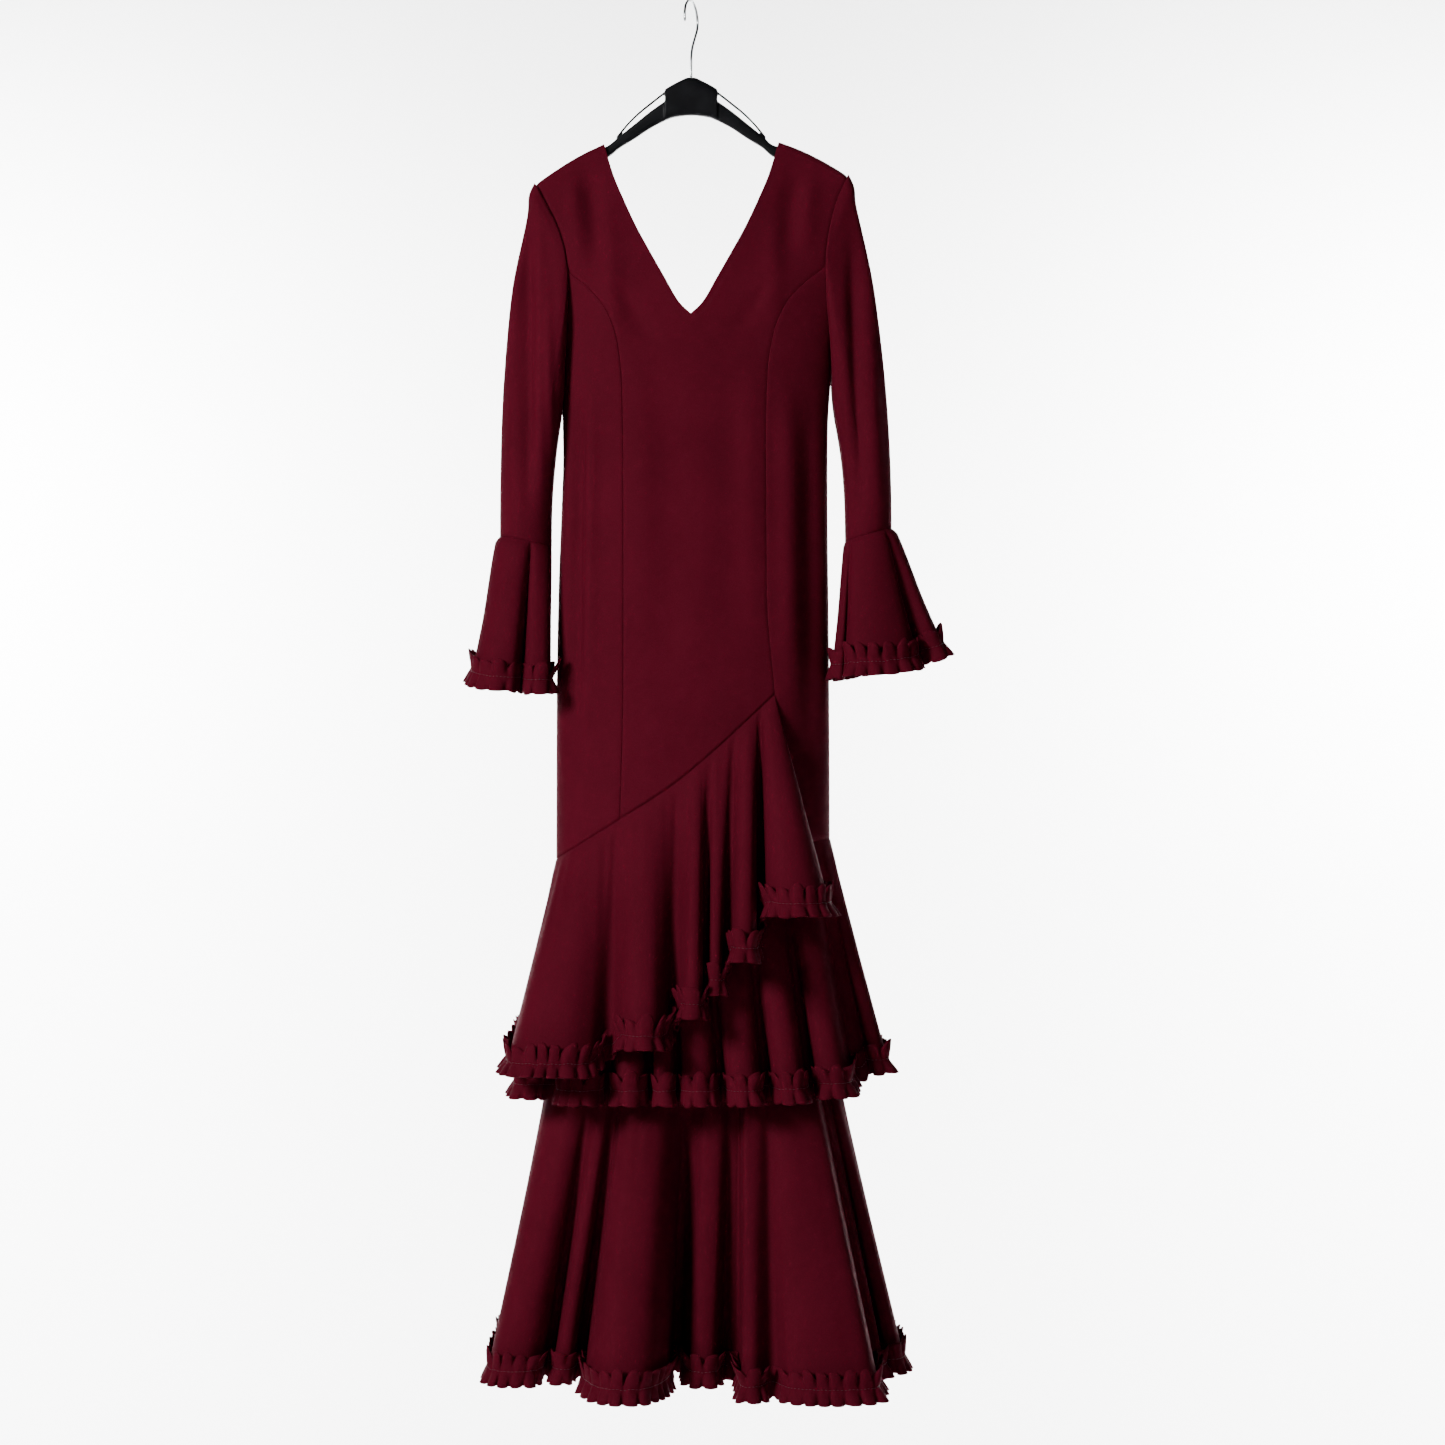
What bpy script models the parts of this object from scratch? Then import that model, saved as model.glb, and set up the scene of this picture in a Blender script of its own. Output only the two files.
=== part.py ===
"""Long-sleeved flamenco dress with three flounces, hanging on a moulded hanger.

Sizes are in millimetres until a mesh is made. X runs to the viewer's right, the front
faces -Y and Z is up. The origin is where a rail touches the underside of the hook.
"""

import math
from collections import namedtuple

import bmesh
import bpy
import numpy as np

# Driving sizes
MM = 0.001
CLOTH = 1.4
SEAM_GAP = 0.3
HALF_GAP = SEAM_GAP / 2
LAYER_STEP = CLOTH + SEAM_GAP
SKIRT_INSET = 2.3
SLEEVE_LAP = 1.9
END_LAP = 2.4
END_LAP_STARTS = 8.0
END_LAP_FULL = 4.0
SIDE_GAP_ANGLE = 0.0009
ROUNDNESS = 2.4
PROBE = 0.0002
PROBE_DROP = 0.05
SEAM_PASSES = 3
SHARP_ANGLE = math.radians(50)
FRONT_MIDDLE = 0.0
QUARTER = math.pi / 2

# Finishes, as colour, roughness and metallic
Finish = namedtuple("Finish", "colour roughness metallic")
CREPE = Finish((0.075, 0.006, 0.016, 1.0), 0.85, 0.0)
PLASTIC = Finish((0.012, 0.013, 0.016, 1.0), 0.32, 0.0)
STEEL = Finish((0.55, 0.56, 0.58, 1.0), 0.28, 1.0)

# Line of the shoulder seams, from the neck outwards
ShoulderLine = namedtuple("ShoulderLine", "neck height slope curl")
LEFT_SHOULDER = ShoulderLine(neck=102, height=-168, slope=0.42, curl=0.0021)
RIGHT_SHOULDER = ShoulderLine(neck=104, height=-166, slope=0.32, curl=0.0022)
SHOULDER_DROP = 0.008
SHOULDER_ROLL = 8.0
ROLL_FADES_FROM = -300.0
ROLL_FADES_TO = -398.0

# Half widths of the body at each height
BodyWidth = namedtuple("BodyWidth", "z left right")
BODY_WIDTHS = (
    BodyWidth(-1260, 160, 162),
    BodyWidth(-1010, 158.5, 163),
    BodyWidth(-820, 158, 162.5),
    BodyWidth(-700, 156, 161.5),
    BodyWidth(-590, 152, 160.5),
    BodyWidth(-541, 150.5, 160.5),
    BodyWidth(-500, 151, 161),
    BodyWidth(-440, 153.5, 165),
    BodyWidth(-398, 155, 168),
    BodyWidth(-370, 160, 172),
    BodyWidth(-340, 167, 180),
    BodyWidth(-300, 178, 190),
    BodyWidth(-260, 190, 197),
    BodyWidth(-215, 198, 202),
    BodyWidth(-150, 200, 204),
)

# Half depth of the body at each drop below the shoulder seam
BodyDepth = namedtuple("BodyDepth", "drop depth")
BODY_DEPTHS = (
    BodyDepth(0, 0),
    BodyDepth(20, 3),
    BodyDepth(60, 9),
    BodyDepth(120, 22),
    BodyDepth(180, 34),
    BodyDepth(250, 43),
    BodyDepth(350, 50),
    BodyDepth(500, 58),
    BodyDepth(700, 68),
    BodyDepth(850, 75),
    BodyDepth(1150, 80),
)

# Seams of the body in front view; "at" is the share of the panel's length from the shoulder
SeamPoint = namedtuple("SeamPoint", "at x z")
ARMHOLE_MEETS_PRINCESS = 0.15
NECK_MEETS_MIDDLE = 0.32
LEFT_PRINCESS = (
    SeamPoint(0.00, -183, -216),
    SeamPoint(0.04, -171, -240),
    SeamPoint(0.08, -157, -268),
    SeamPoint(0.12, -148, -297),
    SeamPoint(0.15, -144, -319),
    SeamPoint(0.19, -121, -340),
    SeamPoint(0.25, -97, -371),
    SeamPoint(0.31, -85.5, -407),
    SeamPoint(0.38, -80.5, -452),
    SeamPoint(0.52, -78.5, -550),
    SeamPoint(0.80, -78, -800),
    SeamPoint(1.00, -81.5, -961.6),
)
RIGHT_PRINCESS = (
    SeamPoint(0.00, 184, -208),
    SeamPoint(0.04, 171, -239),
    SeamPoint(0.08, 163, -270),
    SeamPoint(0.12, 159, -297),
    SeamPoint(0.15, 158, -313),
    SeamPoint(0.19, 137, -332),
    SeamPoint(0.25, 112, -359),
    SeamPoint(0.31, 97, -394),
    SeamPoint(0.38, 89.6, -440),
    SeamPoint(0.52, 87.5, -520),
    SeamPoint(0.80, 88.5, -700),
    SeamPoint(1.00, 97.5, -817),
)
RIGHT_PRINCESS_END = SeamPoint(1.24, 101, -994)
LEFT_UNDERARM = (
    SeamPoint(0.0, -155, -398),
    SeamPoint(0.3, -149.5, -388),
    SeamPoint(0.65, -144.5, -360),
    SeamPoint(1.0, -144, -319),
)
RIGHT_UNDERARM = (
    SeamPoint(0.0, 168, -398),
    SeamPoint(0.3, 163.5, -388),
    SeamPoint(0.65, 159, -358),
    SeamPoint(1.0, 158, -313),
)
NECKLINE = (
    SeamPoint(0.00, 103, -167),
    SeamPoint(0.06, 91, -206.7),
    SeamPoint(0.11, 78.5, -237),
    SeamPoint(0.16, 63.7, -269.5),
    SeamPoint(0.205, 48, -299),
    SeamPoint(0.25, 31, -329.5),
    SeamPoint(0.295, 12.5, -361),
    SeamPoint(0.32, 0, -373),
)
BACK_NECK_DROP = 12.0

# Slanted seam of the upper flounce, from the left side up to its right end
SlantPoint = namedtuple("SlantPoint", "x z")
SLANT = (
    SlantPoint(-158.5, -1010),
    SlantPoint(-81.5, -961.6),
    SlantPoint(-22, -923),
    SlantPoint(26, -883.5),
    SlantPoint(62, -850.5),
    SlantPoint(97.5, -817),
)
SECOND_SEAM_MIDDLE = -1010.0
SECOND_SEAM_RISE = 0.153
THIRD_SEAM = -1215.0
LEFT_SIDE = -158.5
RIGHT_SIDE = 163.0
SKIRT_ABOVE_SLANT = 3.0
SKIRT_RIGHT_TOP = -972.0
SKIRT_TOP_LEVEL = -980.0
SKIRT_RISE_STOPS = (98.0, 160.0)

# How the body panels are divided
PANEL_ROWS = (
    0.0, 0.003, 0.012, 0.04, 0.08, 0.12, 0.15, 0.19, 0.23, 0.275, 0.32,
    0.38, 0.48, 0.60, 0.73, 0.86, 1.0,
)
HALF_COLUMNS = 6
SIDE_COLUMNS = 5
SKIRT_LEVELS = 3

# Folds of the flounces: x on the seam, x and y on the hem, height of the hem, y between folds
Fold = namedtuple("Fold", "seam_left seam_right left right crest z dip")
TIER_ONE_FRONT = (
    Fold(-152, -97, -206, -93, -172, -1237, -146),
    Fold(-72, -33, -76, -28, -172, -1206, -143),
    Fold(-4, 15, -12, 15, -166, -1171, -130),
    Fold(29, 45, 22, 38, -142, -1146, -126),
    Fold(63, 80, 58, 87, -170, -1108, -122),
)
TIER_ONE_END = Fold(86, 97.2, 98, 158, -170, -1058, -104)
TIER_ONE_END_TUCK = (148.0, -88.0)
TIER_ONE_LEFT = (-203.0, -2.0, -1228.0)
TIER_TWO_FRONT = (
    Fold(-158, -138, -202, -166, -96, -1270, -78),
    Fold(-125, -92, -150, -102, -134, -1272, -106),
    Fold(-80, -62, -88, -50, -136, -1272, -108),
    Fold(-50, -28, -40, -18, -136, -1272, -110),
    Fold(-18, 8, -9, 30, -137, -1272, -110),
    Fold(20, 52, 44, 82, -136, -1272, -106),
    Fold(66, 92, 96, 134, -132, -1270, -96),
    Fold(108, 132, 145, 184, -116, -1266, -60),
)
TIER_TWO_RIGHT_FOLD = Fold(148, 160, 205, 232, -30, -1248, 8)
TIER_TWO_RIGHT = (220.0, 12.0, -1248.0)
TIER_TWO_LEFT = (-196.0, 6.0, -1262.0)
TIER_THREE_FRONT = (
    Fold(-150, -112, -234, -171, -112, -1594, -68),
    Fold(-96, -82, -158, -135, -100, -1594, -72),
    Fold(-68, -20, -122, -24, -184, -1597, -72),
    Fold(-8, 36, -9, 42, -112, -1595, -52),
    Fold(58, 132, 62, 214, -182, -1597, -40),
)
TIER_THREE_RIGHT_FOLD = Fold(146, 157, 223, 250, -50, -1592, -6)
TIER_THREE_RIGHT = (241.0, 12.0, -1592.0)
TIER_THREE_LEFT = (-226.0, 10.0, -1592.0)

# How a flounce is divided
CHORD = 15.0
VALLEY_WIDTH = 8.0
VALLEY_SEAM = 2.0
END_STEP = 0.05
NORMALS_FREE_AT = 0.35
FLOUNCE_LEVELS = (0.0, 0.4, 1.0)
LOBE_ANGLES = (-62, -22, 22, 62)
LOBE_FULLNESS = 0.75

# Gathered trim along each hem, measured down the flounce
TRIM_ABOVE = 23.0
TRIM_STITCH = 5.0
TRIM_BELOW = 12.0
TRIM_WAVE = 7.0
TRIM_STITCH_WAVE = 0.1
TRIM_CLEARANCE = 0.5
TRIM_ROOM = 1.2
TRIM_REACH = 7.0
TRIM_AHEAD = 1.0
TRIM_OPEN = 99.0
HOLLOW_BEND = 1.2
SHARPEST_CORNER = 0.6
CUFF_WAVE = 5.0

# Sleeves and their cuffs
Cuff = namedtuple("Cuff", "side x y z slope wide deep lean")
LEFT_CUFF = Cuff(side=-1, x=-194, y=-12, z=-638, slope=-0.2, wide=30, deep=27, lean=0.13)
RIGHT_CUFF = Cuff(side=1, x=208.5, y=-10, z=-630, slope=0.29, wide=27, deep=27, lean=0.0)
SLEEVE_LEVELS = (0.0, 0.08, 0.2, 0.35, 0.5, 0.65, 0.8, 1.0)
SLEEVE_SPREAD = 0.27
SLEEVE_TUCK = 0.22
SLEEVE_PUFF = 0.10
CuffFold = namedtuple("CuffFold", "turn x y z")
LEFT_CUFF_HEM = (
    CuffFold(0.00, -256, -12, -790),
    CuffFold(0.09, -252, -42, -797),
    CuffFold(0.17, -230, -62, -802),
    CuffFold(0.24, -208, -60, -803),
    CuffFold(0.29, -197, -44, -803),
    CuffFold(0.34, -187, -58, -806),
    CuffFold(0.41, -169, -61, -806),
    CuffFold(0.47, -163, -44, -804),
    CuffFold(0.52, -176, -18, -803),
    CuffFold(0.58, -177, 10, -802),
    CuffFold(0.66, -188, 34, -801),
    CuffFold(0.74, -204, 34, -800),
    CuffFold(0.82, -221, 38, -797),
    CuffFold(0.92, -246, 22, -792),
)
RIGHT_CUFF_HEM = (
    CuffFold(0.00, 296, -16, -760),
    CuffFold(0.07, 290, -38, -766),
    CuffFold(0.13, 268, -38, -772),
    CuffFold(0.19, 256, -58, -780),
    CuffFold(0.27, 224, -74, -785),
    CuffFold(0.35, 190, -66, -786),
    CuffFold(0.41, 180, -46, -787),
    CuffFold(0.47, 172, -34, -788),
    CuffFold(0.53, 178, -10, -789),
    CuffFold(0.60, 190, 16, -787),
    CuffFold(0.68, 208, 36, -783),
    CuffFold(0.77, 230, 24, -777),
    CuffFold(0.85, 252, 36, -771),
    CuffFold(0.93, 280, 14, -763),
)

# Hanger, as outlines of a moulding seen from the front
Outline = namedtuple("Outline", "x top bottom")
HANGER_CENTRE = (
    Outline(-31, -103, -140),
    Outline(-22, -97.5, -136.5),
    Outline(-10, -91.5, -134.5),
    Outline(-4, -89, -134),
    Outline(4, -89, -134),
    Outline(10, -91.5, -134.5),
    Outline(22, -97.5, -136.5),
    Outline(31, -103, -140),
)
ARM_INSIDE_NECK = (
    Outline(24, -112, -136.5),
    Outline(48, -129, -149),
    Outline(66, -143.5, -161),
    Outline(84, -158, -172),
    Outline(98, -169.5, -183),
)
ARM_STATIONS = (112, 126, 140, 154, 166)
ARM_UNDER_CLOTH = 3.0
ARM_HEIGHT = 13.0
STRAP_BAR = (
    Outline(26, -101.5, -104.5),
    Outline(46, -117, -120.2),
    Outline(62, -130, -133.2),
    Outline(76, -144, -147.4),
    Outline(88, -158.5, -163.5),
)
ARM_HALF_DEPTH = 4.6
CENTRE_HALF_DEPTH = 7.0
BAR_HALF_DEPTH = 2.2
MOULDING_CHAMFER = 2.2
BAR_CHAMFER = 0.9
MOULDING_SIDES = 8

# Wire hook, as distance from its stem and height
HookPoint = namedtuple("HookPoint", "out z")
HOOK_INNER_RADIUS = 20.0
WIRE_RADIUS = 1.5
HOOK_TURN = math.radians(70)
HOOK_START = math.radians(200)
HOOK_END = math.radians(-38)
HOOK_ARC_STEPS = 14
HOOK_NECK = (
    HookPoint(9.5, -44),
    HookPoint(3.5, -54),
    HookPoint(0.6, -64),
    HookPoint(0, -74),
    HookPoint(0, -88.7),
)
HOOK_SIDES = 8


def clear_scene():
    for item in list(bpy.data.objects):
        bpy.data.objects.remove(item, do_unlink=True)


def material(name, finish):
    made = bpy.data.materials.new(name)
    made.use_nodes = True
    shader = made.node_tree.nodes["Principled BSDF"]
    shader.inputs["Base Color"].default_value = finish.colour
    shader.inputs["Roughness"].default_value = finish.roughness
    shader.inputs["Metallic"].default_value = finish.metallic
    made.diffuse_color = finish.colour
    return made


def column(table, name):
    return np.array([getattr(row, name) for row in table], float)


def eased(knots, values, at):
    """Monotone cubic through a table's values."""
    knots = np.asarray(knots, float)
    values = np.asarray(values, float)
    order = np.argsort(knots)
    knots = knots[order]
    values = values[order]
    step = np.diff(knots)
    slope = np.diff(values) / step
    tangent = np.zeros(len(knots))
    tangent[0] = slope[0]
    tangent[-1] = slope[-1]
    same = slope[:-1] * slope[1:] > 0
    mean = 2 * slope[:-1] * slope[1:] / np.where(same, slope[:-1] + slope[1:], 1)
    tangent[1:-1] = np.where(same, mean, 0)
    at = np.clip(at, knots[0], knots[-1])
    cell = np.clip(np.searchsorted(knots, at) - 1, 0, len(step) - 1)
    part = (at - knots[cell]) / step[cell]
    start = values[cell] * (2 * part**3 - 3 * part**2 + 1)
    end = values[cell + 1] * (3 * part**2 - 2 * part**3)
    bend = tangent[cell] * (part**3 - 2 * part**2 + part)
    bend += tangent[cell + 1] * (part**3 - part**2)
    return start + end + step[cell] * bend


def smooth_step(low, high, value):
    part = np.clip((value - low) / (high - low), 0, 1)
    return part * part * (3 - 2 * part)


def shoulder_height(x):
    x = np.asarray(x, float)
    heights = []
    for line in (LEFT_SHOULDER, RIGHT_SHOULDER):
        beyond = np.maximum(np.abs(x) - line.neck, 0)
        heights.append(line.height - line.slope * beyond - line.curl * beyond**2)
    share = smooth_step(-LEFT_SHOULDER.neck, RIGHT_SHOULDER.neck, x)
    return heights[0] * (1 - share) + heights[1] * share


def half_width(x_sign, z):
    left = eased(column(BODY_WIDTHS, "z"), column(BODY_WIDTHS, "left"), z)
    right = eased(column(BODY_WIDTHS, "z"), column(BODY_WIDTHS, "right"), z)
    return np.where(x_sign < 0, left, right)


def body_point(angle, z):
    """Middle of the body's cloth; angle 0 is the front, 90 degrees the right side."""
    angle, z = np.broadcast_arrays(np.asarray(angle, float), np.asarray(z, float))
    across = np.sin(angle)
    x = across * half_width(across, z)
    drop = np.maximum(shoulder_height(x) - z, 0)
    rolled = np.minimum(drop, SHOULDER_ROLL) / SHOULDER_ROLL
    roll = SHOULDER_ROLL * np.sqrt(1 - (1 - rolled) ** 2)
    roll = roll * smooth_step(ROLL_FADES_TO, ROLL_FADES_FROM, z)
    swell = eased(column(BODY_DEPTHS, "drop"), column(BODY_DEPTHS, "depth"), drop)
    round_off = np.maximum(1 - np.abs(across) ** ROUNDNESS, 0) ** (1 / ROUNDNESS)
    y = -np.sign(np.cos(angle)) * (roll + swell * round_off)
    return np.stack([x, y, z], axis=-1)


def unit(vectors):
    return vectors / np.maximum(np.linalg.norm(vectors, axis=-1, keepdims=True), 1e-12)


def body_normal(angle, z):
    around = body_point(np.asarray(angle) + PROBE, z) - body_point(np.asarray(angle) - PROBE, z)
    z = np.asarray(z)
    down = body_point(angle, z + PROBE_DROP) - body_point(angle, z - PROBE_DROP)
    return unit(np.cross(around, down))


def angle_at(x, z, back=False):
    share = np.clip(x / half_width(np.asarray(x), z), -1, 1)
    angle = np.arcsin(share)
    return math.pi - angle if back else angle


def seam_points(table, at, shift=0.0, mirror=1):
    x = eased(column(table, "at"), column(table, "x"), at) * mirror + shift
    z = eased(column(table, "at"), column(table, "z"), at)
    return x, z


def make_object(name, points, faces, finish):
    mesh = bpy.data.meshes.new(name)
    mesh.from_pydata((np.asarray(points) * MM).tolist(), [], faces)
    work = bmesh.new()
    work.from_mesh(mesh)
    bmesh.ops.recalc_face_normals(work, faces=work.faces)
    work.to_mesh(mesh)
    work.free()
    mesh.shade_smooth()
    mesh.set_sharp_from_angle(angle=SHARP_ANGLE)
    mesh.materials.append(finish)
    made = bpy.data.objects.new(name, mesh)
    bpy.context.scene.collection.objects.link(made)
    return made


def split_faces(points, faces):
    """Cuts each four-sided face along its shorter diagonal."""
    made = []
    for face in faces:
        if len(face) == 3:
            made.append(tuple(face))
            continue
        one, two, three, four = face
        straight = np.linalg.norm(points[one] - points[three])
        other = np.linalg.norm(points[two] - points[four])
        if straight <= other:
            made += [(one, two, three), (one, three, four)]
        else:
            made += [(one, two, four), (two, three, four)]
    return made


def wall(name, points, normals, faces, finish):
    """Close a sheet of faces into a wall, half its thickness to each side."""
    points = np.asarray(points, float)
    count = len(points)
    faces = split_faces(points, faces)
    both = np.concatenate([points + normals * CLOTH / 2, points - normals * CLOTH / 2])
    solid = [tuple(face) for face in faces]
    solid += [tuple(index + count for index in reversed(face)) for face in faces]
    uses = {}
    for face in faces:
        for start, end in zip(face, face[1:] + face[:1]):
            uses[(start, end)] = uses.get((start, end), 0) + 1
    for start, end in uses:
        if (end, start) not in uses:
            solid.append((end, start, start + count, end + count))
    return make_object(name, both, solid, finish)


def grid_faces(rows, columns, closed=False):
    faces = []
    last = columns if closed else columns - 1
    for row in range(rows - 1):
        for step in range(last):
            right = (step + 1) % columns
            top = row * columns
            below = top + columns
            faces.append((top + step, below + step, below + right, top + right))
    return faces


def grid_wall(name, points, normals, finish, closed=False):
    rows, columns = points.shape[:2]
    flat = points.reshape(-1, 3)
    return wall(name, flat, normals.reshape(-1, 3), grid_faces(rows, columns, closed), finish)


def blended_patch(left, right, top, bottom, row_at):
    """Fill four edges, each of (angle, z), with a smooth grid."""
    across = np.linspace(0, 1, len(top))[None, :, None]
    row_at = np.asarray(row_at)
    down = ((row_at - row_at[0]) / (row_at[-1] - row_at[0]))[:, None, None]
    sides = (1 - across) * left[:, None] + across * right[:, None]
    ends = (1 - down) * top[None] + down * bottom[None]
    corners = (1 - across) * (1 - down) * top[0] + across * (1 - down) * top[-1]
    corners = corners + (1 - across) * down * bottom[0] + across * down * bottom[-1]
    return sides + ends - corners


def slant_height(x):
    return eased(column(SLANT, "x"), column(SLANT, "z"), x)


def second_seam_height(x):
    return SECOND_SEAM_MIDDLE + SECOND_SEAM_RISE * np.asarray(x, float)


def edge_pairs(x, z, back):
    return np.stack([angle_at(x, z, back), z], axis=-1)


def half_panel_grid(side, back):
    """Angles and heights of the middle panel's half, from the armhole to the middle."""
    rows = np.array(PANEL_ROWS)
    princess = LEFT_PRINCESS if side < 0 else RIGHT_PRINCESS
    x, z = seam_points(princess, rows, shift=-side * HALF_GAP)
    z[0] = shoulder_height(x[0]) - SHOULDER_DROP
    z[-1] = slant_height(x[-1]) + HALF_GAP
    outer = edge_pairs(x, z, back)
    middle_bottom = slant_height(FRONT_MIDDLE) + HALF_GAP
    neck_rows = rows[rows <= NECK_MEETS_MIDDLE]
    x, z = seam_points(NECKLINE, neck_rows, mirror=side)
    if back:
        z = z - BACK_NECK_DROP * smooth_step(0.1, NECK_MEETS_MIDDLE, neck_rows)
    z[0] = shoulder_height(x[0]) - SHOULDER_DROP
    lower_rows = rows[rows > NECK_MEETS_MIDDLE]
    share = (lower_rows - NECK_MEETS_MIDDLE) / (1 - NECK_MEETS_MIDDLE)
    lower_z = z[-1] + (middle_bottom - z[-1]) * share
    gap = HALF_GAP if back else 0.0
    x = np.concatenate([np.maximum(np.abs(x), gap) * side, np.full(len(lower_rows), side * gap)])
    z = np.concatenate([z, lower_z])
    inner = edge_pairs(x, z, back)
    share = np.linspace(0, 1, HALF_COLUMNS + 1)
    top_x = outer_x(outer[0]) * (1 - share) + outer_x(inner[0]) * share
    top_z = shoulder_height(top_x) - SHOULDER_DROP
    top = edge_pairs(top_x, top_z, back)
    bottom_x = outer_x(outer[-1]) * (1 - share) + outer_x(inner[-1]) * share
    bottom_z = slant_polyline(bottom_x) + HALF_GAP
    bottom = edge_pairs(bottom_x, bottom_z, back)
    grid = blended_patch(outer, inner, top, bottom, rows)
    return grid if side < 0 else grid[:, ::-1]


def outer_x(pair):
    return float(body_point(pair[0], pair[1])[0])


def slant_polyline(x):
    """Slanted seam as straight runs, so both of its edges share the same line."""
    knots = slant_knots()
    return np.interp(x, knots, slant_height(knots))


def slant_knots():
    left_princess = LEFT_PRINCESS[-1].x
    left = np.linspace(LEFT_SIDE, left_princess, SIDE_COLUMNS + 1)
    middle = np.linspace(left_princess, FRONT_MIDDLE, HALF_COLUMNS + 1)
    right = np.linspace(FRONT_MIDDLE, RIGHT_PRINCESS[-1].x, HALF_COLUMNS + 1)
    return np.unique(np.concatenate([left, middle, right]))


def panel_surface(grid):
    return body_point(grid[..., 0], grid[..., 1]), body_normal(grid[..., 0], grid[..., 1])


def front_centre(finish):
    """One panel with both shoulders, slit at the middle down to the V."""
    halves = [half_panel_grid(side, False) for side in (-1, 1)]
    columns = HALF_COLUMNS + 1
    points = []
    normals = []
    for half in halves:
        surface, normal = panel_surface(half)
        points.append(surface.reshape(-1, 3))
        normals.append(normal.reshape(-1, 3))
    faces = grid_faces(len(PANEL_ROWS), columns)
    offset = len(points[0])
    joined = {}
    for row, at in enumerate(PANEL_ROWS):
        if at >= NECK_MEETS_MIDDLE:
            joined[offset + row * columns] = row * columns + columns - 1
    for face in grid_faces(len(PANEL_ROWS), columns):
        faces.append(tuple(joined.get(index + offset, index + offset) for index in face))
    points, faces, normals = drop_unused(np.concatenate(points), faces, np.concatenate(normals))
    return wall("front_centre", points, normals, faces, finish)


def drop_unused(points, faces, normals):
    used = sorted({index for face in faces for index in face})
    place = {index: number for number, index in enumerate(used)}
    faces = [tuple(place[index] for index in face) for face in faces]
    return points[used], faces, normals[used]


def back_half(side, finish):
    surface, normal = panel_surface(half_panel_grid(side, True))
    name = "back_left" if side < 0 else "back_right"
    return grid_wall(name, surface[:, ::-1], normal[:, ::-1], finish)


def underarm_columns(side, back):
    table = LEFT_UNDERARM if side < 0 else RIGHT_UNDERARM
    share = np.linspace(0, 1, SIDE_COLUMNS + 1)
    x, z = seam_points(table, share)
    pairs = edge_pairs(x, z, back)
    turn = SIDE_GAP_ANGLE * (-side if not back else side)
    pairs[0, 0] = side * QUARTER + turn if not back else math.pi - side * QUARTER + turn
    return pairs


def side_panel_grid(side, back):
    """Angles and heights of a side panel, from the side seam to the princess seam."""
    rows = np.array([row for row in PANEL_ROWS if row >= ARMHOLE_MEETS_PRINCESS])
    princess = LEFT_PRINCESS if side < 0 else RIGHT_PRINCESS
    bottom_line = slant_polyline if side < 0 else second_seam_height
    side_x = LEFT_SIDE if side < 0 else RIGHT_SIDE
    x, z = seam_points(princess, rows, shift=side * HALF_GAP)
    if side > 0:
        rows = np.append(rows, RIGHT_PRINCESS_END.at)
        x = np.append(x, RIGHT_PRINCESS_END.x)
        z = np.append(z, RIGHT_PRINCESS_END.z)
    z[-1] = bottom_line(x[-1]) + HALF_GAP
    inner = edge_pairs(x, z, back)
    top = underarm_columns(side, back)
    top[-1] = inner[0]
    side_bottom = float(bottom_line(side_x)) + HALF_GAP
    share = (rows - rows[0]) / (rows[-1] - rows[0])
    seam_z = top[0, 1] + (side_bottom - top[0, 1]) * share
    outer = np.stack([np.full(len(rows), top[0, 0]), seam_z], axis=-1)
    share = np.linspace(0, 1, SIDE_COLUMNS + 1)
    angle = outer[-1, 0] + (inner[-1, 0] - outer[-1, 0]) * share
    bottom_z = np.full(len(share), side_bottom)
    for _ in range(SEAM_PASSES):
        bottom_z = bottom_line(body_point(angle, bottom_z)[:, 0]) + HALF_GAP
    bottom = np.stack([angle, bottom_z], axis=-1)
    return blended_patch(outer, inner, top, bottom, rows)


def side_panel(side, back, finish):
    surface, normal = panel_surface(side_panel_grid(side, back))
    flip = (side > 0) != back
    if flip:
        surface = surface[:, ::-1]
        normal = normal[:, ::-1]
    name = ("back_side_" if back else "front_side_") + ("left" if side < 0 else "right")
    return grid_wall(name, surface, normal, finish)


def skirt_angles():
    """Columns that line up with those of the panels above."""
    princess = LEFT_PRINCESS[-1]
    princess_angle = float(angle_at(princess.x, princess.z))
    left = np.linspace(-QUARTER + SIDE_GAP_ANGLE, princess_angle, SIDE_COLUMNS + 1)
    knots = slant_knots()
    knots = knots[knots > princess.x + PROBE]
    middle = angle_at(knots, slant_height(knots))
    right = np.linspace(middle[-1], QUARTER - SIDE_GAP_ANGLE, SIDE_COLUMNS + 2)[1:]
    return np.concatenate([left, middle, right])


def skirt(back, finish):
    angles = skirt_angles()
    x = body_point(angles, np.full(len(angles), SKIRT_TOP_LEVEL))[:, 0]
    top = slant_polyline(x) + SKIRT_ABOVE_SLANT
    past = smooth_step(*SKIRT_RISE_STOPS, x)
    top = top * (1 - past) + SKIRT_RIGHT_TOP * past
    levels = np.linspace(0, 1, SKIRT_LEVELS + 1)[:, None]
    z = top[None] + (THIRD_SEAM - top[None]) * levels
    turned = math.pi - angles if back else angles
    spread = np.broadcast_to(turned[None], z.shape)
    surface = body_point(spread, z)
    normal = body_normal(spread, z)
    surface = surface - normal * SKIRT_INSET * (1 - levels[:, :, None] ** 2)
    if back:
        surface = surface[:, ::-1]
        normal = normal[:, ::-1]
    return grid_wall("skirt_back" if back else "skirt_front", surface, normal, finish)


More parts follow.
